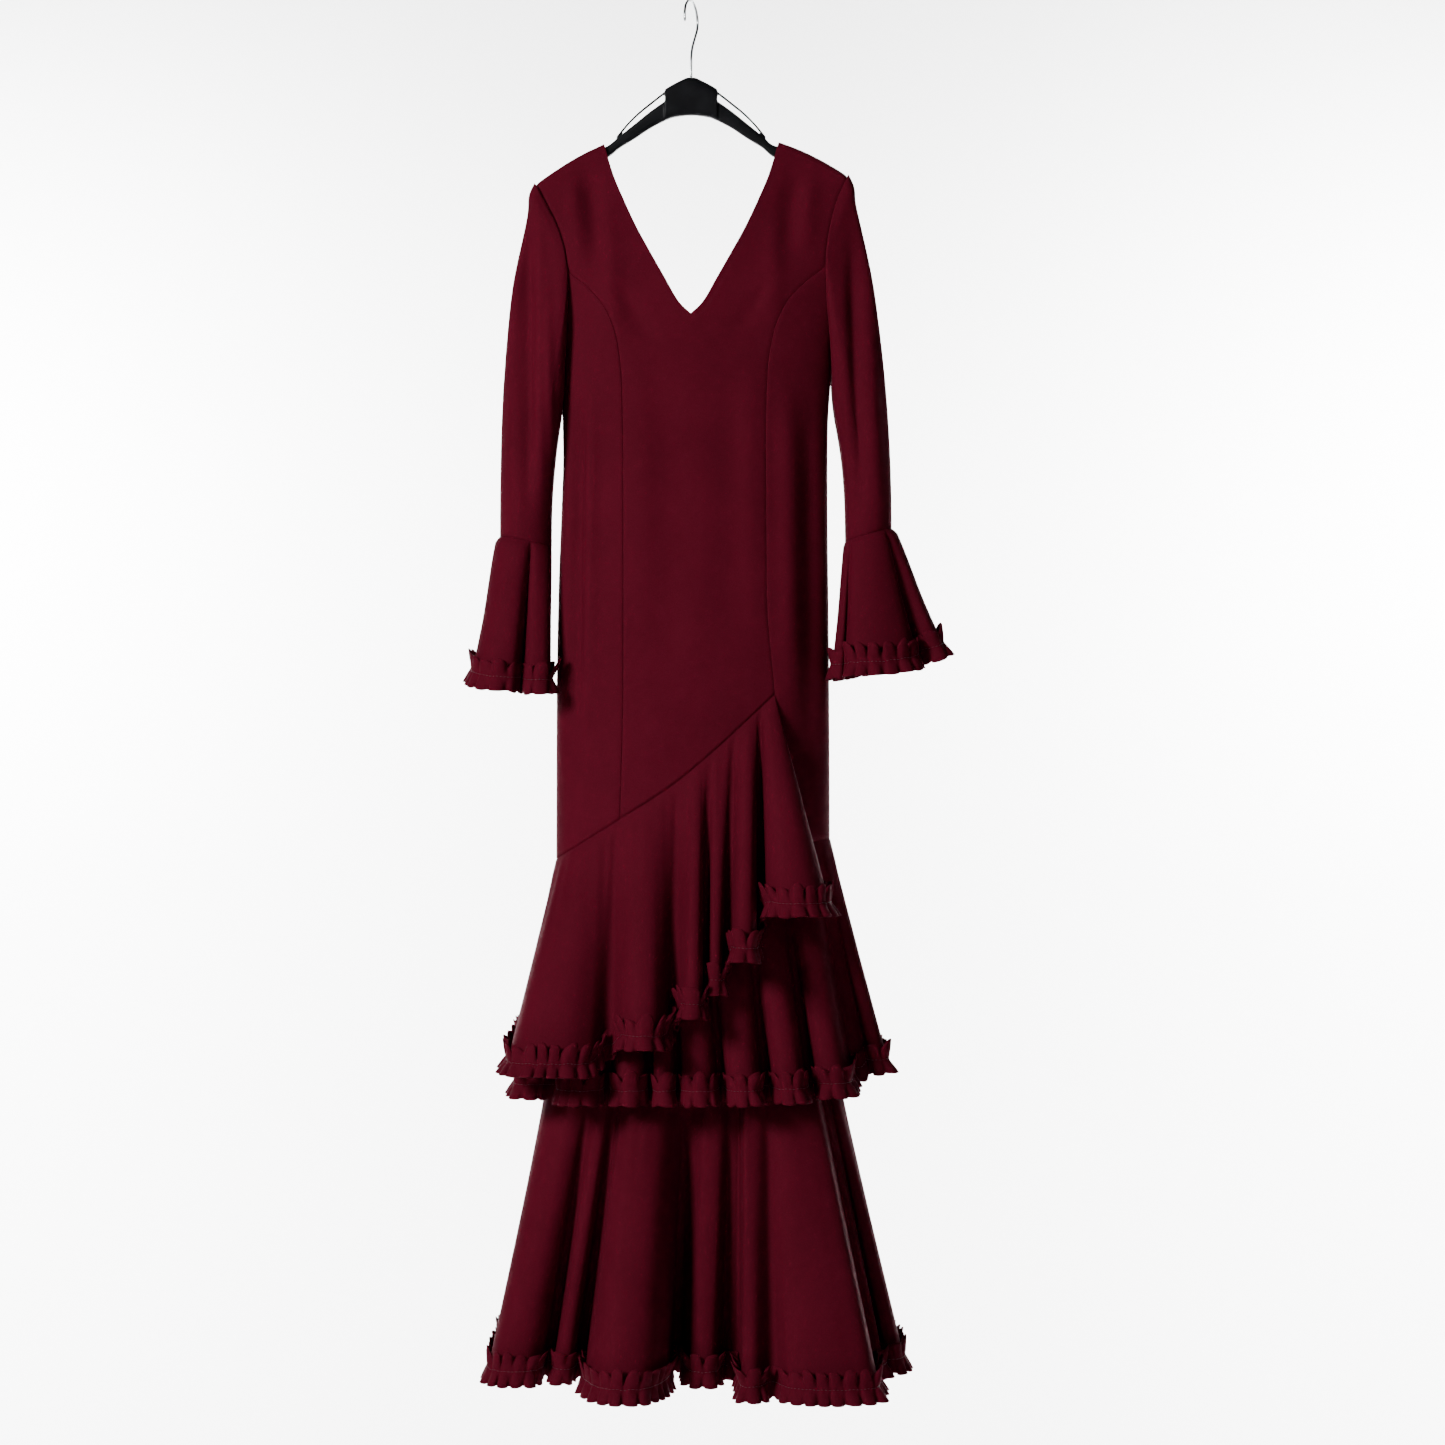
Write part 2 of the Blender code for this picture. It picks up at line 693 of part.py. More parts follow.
def knots_of(points):
    """Centripetal knots along a line of points."""
    steps = np.linalg.norm(np.diff(points, axis=0), axis=1) ** 0.5
    return np.concatenate([[0], np.cumsum(steps)])


def spline(knots, values, at):
    """Non-uniform Catmull-Rom curve through a table of points."""
    tangent = np.zeros_like(values)
    before = (values[1:-1] - values[:-2]) / (knots[1:-1] - knots[:-2])[:, None]
    after = (values[2:] - values[1:-1]) / (knots[2:] - knots[1:-1])[:, None]
    weight = ((knots[1:-1] - knots[:-2]) / (knots[2:] - knots[:-2]))[:, None]
    tangent[1:-1] = before * (1 - weight) + after * weight
    tangent[0] = (values[1] - values[0]) / (knots[1] - knots[0])
    tangent[-1] = (values[-1] - values[-2]) / (knots[-1] - knots[-2])
    cell = np.clip(np.searchsorted(knots, at, side="right") - 1, 0, len(knots) - 2)
    step = (knots[cell + 1] - knots[cell])[:, None]
    part = (at - knots[cell])[:, None] / step
    start = values[cell] * (2 * part**3 - 3 * part**2 + 1)
    end = values[cell + 1] * (3 * part**2 - 2 * part**3)
    bend = tangent[cell] * (part**3 - 2 * part**2 + part)
    bend = bend + tangent[cell + 1] * (part**3 - part**2)
    return start + end + step * bend


def fold_controls(fold):
    """Four points round one fold: x on the seam, then x, y and z on the hem."""
    middle = (fold.left + fold.right) / 2
    half = (fold.right - fold.left) / 2
    rise = fold.crest - fold.dip
    rows = []
    for degrees in LOBE_ANGLES:
        turn = math.radians(degrees)
        out = math.cos(turn) ** LOBE_FULLNESS
        share = 0.5 + 0.5 * math.sin(turn)
        seam = fold.seam_left + (fold.seam_right - fold.seam_left) * share
        rows.append((seam, middle + half * math.sin(turn), fold.dip + rise * out, fold.z))
    return rows


def valley_controls(fold, following):
    """The two points that round off the hollow between one fold and the next."""
    seam = (fold.seam_right + following.seam_left) / 2
    x = (fold.right + following.left) / 2
    y = (fold.dip + following.dip) / 2
    z = (fold.z + following.z) / 2
    near = (seam - VALLEY_SEAM / 2, x - VALLEY_WIDTH / 2, y, z)
    return [near, (seam + VALLEY_SEAM / 2, x + VALLEY_WIDTH / 2, y, z)]


def as_control(row, seam_height):
    """Turns a fold's row, whose place on the seam is an x, into one with an angle."""
    seam, x, y, z = row
    height = float(seam_height(seam))
    return (float(angle_at(np.float64(seam), height)), x, y, z, height)


def folded_half(folds, seam_height, turned):
    """Control rows of one side of a flounce, going round from the left to the right."""
    rows = []
    for number, fold in enumerate(folds):
        rows += fold_controls(fold)
        if number + 1 < len(folds):
            rows += valley_controls(fold, folds[number + 1])
    rows = [as_control(row, seam_height) for row in rows]
    if turned:
        rows = [(math.pi - angle, x, -y, z, height) for angle, x, y, z, height in rows]
        rows.reverse()
    return rows


def flounce_line(controls, start, end):
    """Columns along a flounce, between two of its control rows."""
    table = np.array(controls, float)
    knots = knots_of(table[:, 1:4])
    samples = [knots[start]]
    for number in range(start, end):
        length = np.linalg.norm(table[number + 1, 1:4] - table[number, 1:4])
        count = max(1, round(length / CHORD))
        samples += list(np.linspace(knots[number], knots[number + 1], count + 1)[1:])
    samples = np.array(samples)
    samples[0] += END_STEP
    samples[-1] -= END_STEP
    line = spline(knots, table, samples)
    line[:, 0] = eased(knots, table[:, 0], samples)
    line[0, 0] += SIDE_GAP_ANGLE
    line[-1, 0] -= SIDE_GAP_ANGLE
    line[:, 4] = eased(knots, table[:, 4], samples)
    return line


def flounce_surface(line, seam_height, levels, lap=None):
    """Straight runs from the seam to the hem, with the folds growing on the way down."""
    z = line[:, 4]
    for _ in range(SEAM_PASSES):
        z = seam_height(body_point(line[:, 0], z)[:, 0])
    top_point = body_point(line[:, 0], z - SEAM_GAP)
    top_normal = body_normal(line[:, 0], z - SEAM_GAP)
    if lap is not None:
        top_point = top_point + top_normal * lap(top_point[:, 0])[:, None]
    hem = line[:, 1:4]
    levels = np.asarray(levels)
    points = top_point[None] + (hem - top_point)[None] * levels[:, :, None]
    around = np.gradient(points, axis=1)
    down = np.broadcast_to((hem - top_point)[None], points.shape)
    normals = unit(np.cross(down, around))
    share = smooth_step(0.0, NORMALS_FREE_AT, levels)[:, :, None]
    normals = unit(top_normal[None] * (1 - share) + normals * share)
    return points, normals


def even_levels(values, count):
    return np.broadcast_to(np.array(values, float)[:, None], (len(values), count))


def trim_levels(line, top_point):
    length = np.linalg.norm(line[:, 1:4] - top_point, axis=1)
    return np.stack([
        1 - TRIM_ABOVE / length,
        1 - TRIM_STITCH / length,
        1 + TRIM_BELOW / length,
    ])


def room_ahead(points, normals):
    """How far each column can move out before it meets another fold of the same hem."""
    room = np.full(len(points), TRIM_OPEN)
    for number, (point, normal) in enumerate(zip(points, normals)):
        ahead = points - point
        along = ahead @ normal
        aside = np.linalg.norm(ahead - along[:, None] * normal, axis=1)
        facing = (along > TRIM_AHEAD) & (aside < TRIM_REACH)
        if facing.any():
            room[number] = along[facing].min()
    return room


def beside_hollow(points, normals):
    """True at the columns in the bottom of a hollow, and at those next to them."""
    bend = np.zeros(len(points))
    middle = (points[2:] + points[:-2]) / 2 - points[1:-1]
    bend[1:-1] = np.sum(middle * normals[1:-1], axis=1)
    hollow = bend > HOLLOW_BEND
    return hollow | np.roll(hollow, 1) | np.roll(hollow, -1)


def straightness(points):
    """Cosine of half the turn at each column: 1 on a straight run, less at a corner."""
    steps = unit(np.diff(points, axis=0))
    share = np.ones(len(points))
    share[1:-1] = np.linalg.norm((steps[1:] + steps[:-1]) / 2, axis=1)
    return np.clip(share, SHARPEST_CORNER, 1)


def gathered(points, normals, wave):
    """Moves the flounce's own points out, every other column further, for the gathers."""
    count = points.shape[1]
    waves = np.arange(count) % 2
    start = LAYER_STEP + TRIM_CLEARANCE
    room = np.min([room_ahead(*row) for row in zip(points, normals)], axis=0)
    room = np.minimum(room, np.minimum(np.roll(room, 1), np.roll(room, -1)))
    free = np.clip(room / 2 - start - TRIM_ROOM, 0, wave)
    free = np.where(beside_hollow(points[0], normals[0]), 0, free)
    moved = points.copy()
    for row, share in enumerate((1.0, TRIM_STITCH_WAVE, 1.0)):
        out = start / straightness(points[row]) + share * free * waves
        moved[row] = points[row] + normals[row] * out[:, None]
    return moved


def flounce_nodes(number, controls, start, end, seam_height, place, finish, lap=None):
    """A stretch of flounce and the trim along its hem."""
    line = flounce_line(controls, start, end)
    levels = even_levels(FLOUNCE_LEVELS, len(line))
    points, normals = flounce_surface(line, seam_height, levels, lap)
    made = [grid_wall(f"tier_{number}_{place}", points, normals, finish)]
    levels = trim_levels(line, points[0])
    edge_points, edge_normals = flounce_surface(line, seam_height, levels, lap)
    moved = gathered(edge_points, edge_normals, TRIM_WAVE)
    made.append(grid_wall(f"trim_{number}_{place}", moved, edge_normals, finish))
    return made


def side_control(angle, place, height):
    x, y, z = place
    return (angle, x, y, z, height)


def closed_tier(number, front, right_fold, side_places, seam_height, finish):
    """Front and back folds in one loop, cut at the two sides."""
    ahead = folded_half(front, seam_height, False)
    behind = folded_half(front, seam_height, True)
    right = valley_controls(front[-1], right_fold) + fold_controls(right_fold)
    right = [as_control(row, seam_height) for row in right]
    left_place, right_place = side_places
    right_side = side_control(QUARTER, right_place, float(seam_height(RIGHT_SIDE)))
    left_height = float(seam_height(LEFT_SIDE))
    left_start = side_control(-QUARTER, left_place, left_height)
    left_end = side_control(3 * QUARTER, left_place, left_height)
    loop = [left_start] + ahead + right + [right_side] + behind + [left_end]
    split = 1 + len(ahead) + len(right)
    made = flounce_nodes(number, loop, 0, split, seam_height, "front", finish)
    made += flounce_nodes(number, loop, split, len(loop) - 1, seam_height, "back", finish)
    return made


def end_lap(x):
    """Near its right end the upper flounce lies on the side panel instead of meeting it."""
    start = TIER_ONE_END.seam_left
    return END_LAP * smooth_step(start - END_LAP_STARTS, start + END_LAP_FULL, x)


def slanted_tier(finish):
    """Upper flounce: from its tucked end at the right, round the left side, to the back."""
    folds = TIER_ONE_FRONT + (TIER_ONE_END,)
    tuck_x, tuck_y = TIER_ONE_END_TUCK
    height = float(slant_polyline(TIER_ONE_END.seam_right))
    angle = float(angle_at(np.float64(TIER_ONE_END.seam_right), height))
    left_height = float(slant_polyline(LEFT_SIDE))
    made = []
    for place, turned in (("front", False), ("back", True)):
        rows = folded_half(folds, slant_polyline, turned)
        if turned:
            tuck = side_control(math.pi - angle, (tuck_x, -tuck_y, TIER_ONE_END.z), height)
            side = side_control(3 * QUARTER, TIER_ONE_LEFT, left_height)
            loop = [tuck] + rows + [side]
        else:
            tuck = side_control(angle, (tuck_x, tuck_y, TIER_ONE_END.z), height)
            side = side_control(-QUARTER, TIER_ONE_LEFT, left_height)
            loop = [side] + rows + [tuck]
        last = len(loop) - 1
        made += flounce_nodes("one", loop, 0, last, slant_polyline, place, finish, end_lap)
    return made


def armhole_loop(side):
    """The armhole's edge, from the shoulder down the front and up the back."""
    near = np.array(PANEL_ROWS) <= ARMHOLE_MEETS_PRINCESS
    column_number = 0 if side < 0 else HALF_COLUMNS
    pairs = []
    for back in (False, True):
        upper = half_panel_grid(side, back)[near, column_number]
        lower = underarm_columns(side, back)[-2:0:-1]
        pairs.append((upper, lower))
    underarm = np.array([[side * QUARTER, LEFT_UNDERARM[0].z]])
    (front, front_low), (rear, rear_low) = pairs
    ring = np.concatenate([front, front_low, underarm, rear_low[::-1], rear[:0:-1]])
    return body_point(ring[:, 0], ring[:, 1]), body_normal(ring[:, 0], ring[:, 1])


def cuff_point(cuff, turn, drop=0.0):
    """A point of the slanted ring where a sleeve's flounce is sewn on."""
    around = 2 * math.pi * np.asarray(turn)
    x = cuff.x + cuff.side * cuff.wide * np.cos(around)
    y = cuff.y - cuff.deep * np.sin(around)
    z = cuff.z + cuff.slope * (x - cuff.x) - drop
    return np.stack([x, y, z], axis=-1)


def cuff_normal(cuff, turn):
    around = 2 * math.pi * np.asarray(turn)
    x = cuff.side * cuff.deep * np.cos(around)
    return unit(np.stack([x, -cuff.wide * np.sin(around), np.zeros_like(x)], axis=-1))


def outward(normals, points):
    """Turns normals away from the middle of their ring."""
    middle = points.reshape(-1, 3).mean(axis=0)
    flat = np.sum((points - middle)[..., :2] * normals[..., :2])
    return normals if flat > 0 else -normals


def ring_normals(points):
    around = np.roll(points, -1, axis=1) - np.roll(points, 1, axis=1)
    down = np.gradient(points, axis=0)
    return outward(unit(np.cross(down, around)), points)


def sleeve_turns(ring):
    """Share of the way round for each point of the armhole; a half at the underarm."""
    steps = np.linalg.norm(np.diff(ring, axis=0, append=ring[:1]), axis=1)
    low = int(np.argmin(ring[:, 2]))
    along = np.concatenate([[0], np.cumsum(steps)])
    front = along[:low + 1] / along[low] / 2
    rear = 0.5 + (along[low + 1:-1] - along[low]) / (along[-1] - along[low]) / 2
    return np.concatenate([front, rear])


def sleeve_surface(cuff, levels):
    ring, normals = armhole_loop(cuff.side)
    turns = sleeve_turns(ring)
    start = ring + normals * SLEEVE_LAP
    end = cuff_point(cuff, turns, -HALF_GAP)
    reach = np.linalg.norm(end - start, axis=1)
    tucked = (1 - np.cos(2 * math.pi * turns)) / 2
    ahead = np.maximum(np.sin(2 * math.pi * turns), 0)
    leave = np.stack([
        cuff.side * (SLEEVE_SPREAD - SLEEVE_TUCK * tucked) + cuff.lean * ahead * -cuff.side,
        -SLEEVE_PUFF * np.sin(2 * math.pi * turns) - cuff.lean * ahead,
        -np.ones(len(turns)),
    ], axis=-1) * reach[:, None]
    arrive = np.stack([np.zeros(len(turns)), np.zeros(len(turns)), -reach], axis=-1)
    at = np.asarray(levels)[:, None, None]
    points = start * (2 * at**3 - 3 * at**2 + 1) + end * (3 * at**2 - 2 * at**3)
    points = points + leave * (at**3 - 2 * at**2 + at) + arrive * (at**3 - at**2)
    surface_normals = ring_normals(points)
    surface_normals[0] = unit(surface_normals[0] + normals)
    surface_normals[-1] = cuff_normal(cuff, turns)
    return points, surface_normals


def cuff_line(hem):
    """Columns round a sleeve's flounce: turn on its ring, then x, y and z of the hem."""
    table = np.array([(row.turn, row.x, row.y, row.z) for row in hem])
    before = table[-3:] - np.array([1.0, 0, 0, 0])
    after = table[:3] + np.array([1.0, 0, 0, 0])
    padded = np.concatenate([before, table, after])
    knots = knots_of(padded[:, 1:4])
    samples = []
    for number in range(3, 3 + len(table)):
        length = np.linalg.norm(padded[number + 1, 1:4] - padded[number, 1:4])
        count = max(1, round(length / CHORD))
        samples += list(np.linspace(knots[number], knots[number + 1], count + 1)[:-1])
    if len(samples) % 2:
        samples.append((samples[-1] + knots[3 + len(table)]) / 2)
    samples = np.array(samples)
    line = spline(knots, padded, samples)
    line[:, 0] = eased(knots, padded[:, 0], samples)
    return line


def cuff_surface(cuff, line, levels):
    top = cuff_point(cuff, line[:, 0], HALF_GAP)
    points = top[None] + (line[:, 1:4] - top)[None] * np.asarray(levels)[:, :, None]
    normals = ring_normals(points)
    share = smooth_step(0.0, NORMALS_FREE_AT, np.asarray(levels))[:, :, None]
    return points, unit(cuff_normal(cuff, line[:, 0])[None] * (1 - share) + normals * share)


def sleeve(cuff, hem, finish):
    side = "left" if cuff.side < 0 else "right"
    points, normals = sleeve_surface(cuff, SLEEVE_LEVELS)
    made = [grid_wall(f"sleeve_{side}", points, normals, finish, closed=True)]
    line = cuff_line(hem)
    points, normals = cuff_surface(cuff, line, even_levels(FLOUNCE_LEVELS, len(line)))
    made.append(grid_wall(f"sleeve_flounce_{side}", points, normals, finish, closed=True))
    length = np.linalg.norm(line[:, 1:4] - points[0], axis=1)
    levels = np.stack([1 - TRIM_ABOVE / length, 1 - TRIM_STITCH / length, 1 + TRIM_BELOW / length])
    points, normals = cuff_surface(cuff, line, levels)
    points = gathered(points, normals, CUFF_WAVE)
    made.append(grid_wall(f"sleeve_trim_{side}", points, normals, finish, closed=True))
    return made


def moulding(name, stations, half_depth, chamfer, finish):
    """Lofts an eight-sided section along stations of x, top and bottom."""
    points = []
    for x, top, bottom in stations:
        for y, z in (
            (-half_depth + chamfer, top), (half_depth - chamfer, top),
            (half_depth, top - chamfer), (half_depth, bottom + chamfer),
            (half_depth - chamfer, bottom), (-half_depth + chamfer, bottom),
            (-half_depth, bottom + chamfer), (-half_depth, top - chamfer),
        ):
            points.append((x, y, z))
    faces = grid_faces(len(stations), MOULDING_SIDES, closed=True)
    faces.append(tuple(range(MOULDING_SIDES)))
    faces.append(tuple(range(len(points) - MOULDING_SIDES, len(points))))
    return make_object(name, points, faces, finish)


def arm_stations(side):
    """Arm's outline: its own curve inside the neck, then just under the shoulder seam."""
    rows = [(side * row.x, row.top, row.bottom) for row in ARM_INSIDE_NECK]
    for x in ARM_STATIONS:
        top = float(shoulder_height(side * x)) - ARM_UNDER_CLOTH
        rows.append((side * x, top, top - ARM_HEIGHT))
    return rows


def united(name, pieces):
    """Joins overlapping solids into one."""
    whole = pieces[0]
    for piece in pieces[1:]:
        joint = whole.modifiers.new("join", "BOOLEAN")
        joint.operation = "UNION"
        joint.solver = "EXACT"
        joint.object = piece
    evaluated = whole.evaluated_get(bpy.context.evaluated_depsgraph_get())
    mesh = bpy.data.meshes.new_from_object(evaluated)
    whole.modifiers.clear()
    whole.data = mesh
    for piece in pieces[1:]:
        bpy.data.objects.remove(piece, do_unlink=True)
    whole.name = name
    mesh.name = name


def hanger(finish):
    """One moulding: centre, two arms and a thin bar over each strap slot."""
    pieces = [moulding("centre", HANGER_CENTRE, CENTRE_HALF_DEPTH, MOULDING_CHAMFER, finish)]
    for side in (-1, 1):
        arm = arm_stations(side)
        pieces.append(moulding("arm", arm, ARM_HALF_DEPTH, MOULDING_CHAMFER, finish))
        bar = [(side * row.x, row.top, row.bottom) for row in STRAP_BAR]
        pieces.append(moulding("bar", bar, BAR_HALF_DEPTH, BAR_CHAMFER, finish))
    united("hanger", pieces)


def hook_path():
    """Middle of the wire, as distance from the stem and height."""
    radius = HOOK_INNER_RADIUS + WIRE_RADIUS
    path = []
    for step in range(HOOK_ARC_STEPS + 1):
        turn = HOOK_START + (HOOK_END - HOOK_START) * step / HOOK_ARC_STEPS
        path.append((radius * math.cos(turn), radius * math.sin(turn) - HOOK_INNER_RADIUS))
    return path + [(row.out, row.z) for row in HOOK_NECK]


def hook(finish):
    """A bent wire: rings square to its path, closed at both ends."""
    path = [
        np.array([out * math.cos(HOOK_TURN), out * math.sin(HOOK_TURN), z])
        for out, z in hook_path()
    ]
    flat = np.array([-math.sin(HOOK_TURN), math.cos(HOOK_TURN), 0.0])
    points = []
    for number, place in enumerate(path):
        ahead = path[min(number + 1, len(path) - 1)] - path[max(number - 1, 0)]
        ahead = unit(ahead)
        across = np.cross(ahead, flat)
        for step in range(HOOK_SIDES):
            turn = 2 * math.pi * step / HOOK_SIDES
            points.append(place + WIRE_RADIUS * (flat * math.cos(turn) + across * math.sin(turn)))
    faces = grid_faces(len(path), HOOK_SIDES, closed=True)
    faces.append(tuple(range(HOOK_SIDES)))
    faces.append(tuple(range(len(points) - HOOK_SIDES, len(points))))
    return make_object("hook", points, faces, finish)


def third_seam_height(x):
    return THIRD_SEAM + 0 * np.asarray(x, float)


def main():
    clear_scene()
    crepe = material("burgundy_crepe", CREPE)
    plastic = material("black_plastic", PLASTIC)
    steel = material("hook_steel", STEEL)
    front_centre(crepe)
    for side in (-1, 1):
        back_half(side, crepe)
        side_panel(side, False, crepe)
        side_panel(side, True, crepe)
    for back in (False, True):
        skirt(back, crepe)
    sleeve(LEFT_CUFF, LEFT_CUFF_HEM, crepe)
    sleeve(RIGHT_CUFF, RIGHT_CUFF_HEM, crepe)
    slanted_tier(crepe)
    sides = (TIER_TWO_LEFT, TIER_TWO_RIGHT)
    closed_tier("two", TIER_TWO_FRONT, TIER_TWO_RIGHT_FOLD, sides, second_seam_height, crepe)
    sides = (TIER_THREE_LEFT, TIER_THREE_RIGHT)
    closed_tier("three", TIER_THREE_FRONT, TIER_THREE_RIGHT_FOLD, sides, third_seam_height, crepe)
    hanger(plastic)
    hook(steel)


main()
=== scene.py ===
import logging
import math
from collections.abc import Callable, Sequence
from dataclasses import dataclass
from enum import Enum

import bmesh
import bpy
import numpy as np
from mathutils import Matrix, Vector, noise


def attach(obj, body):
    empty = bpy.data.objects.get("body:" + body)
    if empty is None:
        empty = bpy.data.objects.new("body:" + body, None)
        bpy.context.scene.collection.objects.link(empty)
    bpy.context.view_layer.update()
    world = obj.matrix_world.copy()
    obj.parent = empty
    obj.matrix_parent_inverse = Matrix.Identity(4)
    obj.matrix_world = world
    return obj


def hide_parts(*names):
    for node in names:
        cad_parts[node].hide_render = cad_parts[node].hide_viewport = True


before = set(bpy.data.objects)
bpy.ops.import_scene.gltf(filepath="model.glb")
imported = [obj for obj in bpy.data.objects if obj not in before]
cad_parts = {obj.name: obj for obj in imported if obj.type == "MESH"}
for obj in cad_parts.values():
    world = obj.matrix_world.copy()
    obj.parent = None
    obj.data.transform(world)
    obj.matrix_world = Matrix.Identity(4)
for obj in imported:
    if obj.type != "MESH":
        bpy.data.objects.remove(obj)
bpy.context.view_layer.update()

LOG = logging.getLogger("dress")

MM = 0.001
QUARTER = math.pi / 2
ROOT = "root"
Array = np.ndarray
HeightLine = Callable[[Array], Array]
Piece = bpy.types.Object
Finish = bpy.types.Material
Socket = bpy.types.NodeSocket
Colour = tuple[float, float, float, float]
Row = tuple[float, ...]
Face = tuple[int, ...]
LEFT_SIDE_X = -158.5
RIGHT_SIDE_X = 163.0


class Slot(Enum):
    """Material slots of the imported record."""

    CLOTH = "cloth"
    PLASTIC = "hanger_plastic"
    STEEL = "hook_steel"


class Held(Enum):
    """How a sheet of cloth is held."""

    HUNG = "hung"
    GATHERED = "gathered"


@dataclass(frozen=True)
class ClothFinish:
    """Matte crepe: colours in linear light and the size of its grain, per metre."""

    base: Colour = (0.061, 0.0030, 0.0094, 1.0)
    deep: Colour = (0.047, 0.0021, 0.0070, 1.0)
    fleck: Colour = (0.092, 0.0055, 0.0155, 1.0)
    sheen_tint: Colour = (0.50, 0.03, 0.08, 1.0)
    sheen: float = 0.03
    sheen_roughness: float = 0.45
    shine: float = 0.02
    fleck_share: float = 0.3
    roughness: float = 0.78
    cloud_scale: float = 9.0
    crepe_scale: float = 1150.0
    slub_scale: float = 260.0
    crepe_bump: float = 0.00018
    slub_bump: float = 0.00022


@dataclass(frozen=True)
class ThreadFinish:
    """Tone-on-tone sewing thread with a soft shine."""

    base: Colour = (0.048, 0.0020, 0.0070, 1.0)
    shade: float = 0.6
    roughness: float = 0.5
    twist_scale: float = 2400.0


@dataclass(frozen=True)
class PlasticFinish:
    """Black satin moulding."""

    base: Colour = (0.0022, 0.0022, 0.0030, 1.0)
    worn: Colour = (0.0052, 0.0055, 0.0066, 1.0)
    roughness: float = 0.46
    shine: float = 0.11
    grain_scale: float = 700.0
    wear_scale: float = 40.0
    grain_bump: float = 0.00004


@dataclass(frozen=True)
class SteelFinish:
    """Bright plated wire with drawn lines."""

    base: Colour = (0.56, 0.57, 0.59, 1.0)
    dull: Colour = (0.34, 0.35, 0.37, 1.0)
    roughness: float = 0.24
    line_scale: float = 900.0


def unit(vectors: Array) -> Array:
    """Scales vectors to length one."""
    return vectors / np.maximum(np.linalg.norm(vectors, axis=-1, keepdims=True), 1e-12)


def smooth_step(low: float, high: float, value: Array) -> Array:
    """Rises from 0 at low to 1 at high with level ends.

    Args:
        low: where the rise starts.
        high: where it ends.
        value: where it is wanted.

    Returns:
        The share, with value's shape.
    """
    part = np.clip((value - low) / (high - low), 0, 1)
    return part * part * (3 - 2 * part)


def cubic(part: Array, start: Array, end: Array, leave: Array, arrive: Array) -> Array:
    """Cubic between two values with a direction at each.

    Args:
        part: share of the way, from 0 to 1.
        start: value at 0.
        end: value at 1.
        leave: direction at 0.
        arrive: direction at 1.

    Returns:
        The values at part.
    """
    made = start * (2 * part**3 - 3 * part**2 + 1) + end * (3 * part**2 - 2 * part**3)
    return made + leave * (part**3 - 2 * part**2 + part) + arrive * (part**3 - part**2)


def eased(knots: Sequence[float], values: Sequence[float], at: Array) -> Array:
    """Monotone cubic through a table.

    Args:
        knots: places of the table's rows.
        values: their values.
        at: where the curve is wanted.

    Returns:
        The values there.
    """
    knots = np.asarray(knots, float)
    values = np.asarray(values, float)
    order = np.argsort(knots)
    knots = knots[order]
    values = values[order]
    step = np.diff(knots)
    slope = np.diff(values) / step
    tangent = np.zeros(len(knots))
    tangent[0] = slope[0]
    tangent[-1] = slope[-1]
    same = slope[:-1] * slope[1:] > 0
    mean = 2 * slope[:-1] * slope[1:] / np.where(same, slope[:-1] + slope[1:], 1)
    tangent[1:-1] = np.where(same, mean, 0)
    at = np.clip(at, knots[0], knots[-1])
    cell = np.clip(np.searchsorted(knots, at) - 1, 0, len(step) - 1)
    part = (at - knots[cell]) / step[cell]
    bends = (step[cell] * tangent[cell], step[cell] * tangent[cell + 1])
    return cubic(part, values[cell], values[cell + 1], *bends)


def knots_of(points: Array) -> Array:
    """Centripetal knots along a line of points."""
    steps = np.linalg.norm(np.diff(points, axis=0), axis=1) ** 0.5
    return np.concatenate([[0], np.cumsum(steps)])


def spline(knots: Array, values: Array, at: Array) -> Array:
    """Smooth curve through a table of points.

    Args:
        knots: place of each point along the curve.
        values: the points, one to a row.
        at: where the curve is wanted.

    Returns:
        One row for each place.
    """
    tangent = np.zeros_like(values)
    before = (values[1:-1] - values[:-2]) / (knots[1:-1] - knots[:-2])[:, None]
    after = (values[2:] - values[1:-1]) / (knots[2:] - knots[1:-1])[:, None]
    weight = ((knots[1:-1] - knots[:-2]) / (knots[2:] - knots[:-2]))[:, None]
    tangent[1:-1] = before * (1 - weight) + after * weight
    tangent[0] = (values[1] - values[0]) / (knots[1] - knots[0])
    tangent[-1] = (values[-1] - values[-2]) / (knots[-1] - knots[-2])
    cell = np.clip(np.searchsorted(knots, at, side="right") - 1, 0, len(knots) - 2)
    step = (knots[cell + 1] - knots[cell])[:, None]
    part = (at - knots[cell])[:, None] / step
    bends = (step * tangent[cell], step * tangent[cell + 1])
    return cubic(part, values[cell], values[cell + 1], *bends)


def waver(places: Array, reach: float, seed: float) -> Array:
    """Smooth repeatable unevenness between about -1 and 1.

    Args:
        places: distances along a line.
        reach: distance over which it changes.
        seed: picks a different run of values.

    Returns:
        One value for each place.
    """
    return np.array([1.6 * noise.noise(Vector((p / reach, seed, 0.37 * seed))) for p in places])


def arc_length(points: Array) -> Array:
    """Distance along a line of points, from 0."""
    return np.concatenate([[0], np.cumsum(np.linalg.norm(np.diff(points, axis=0), axis=1))])


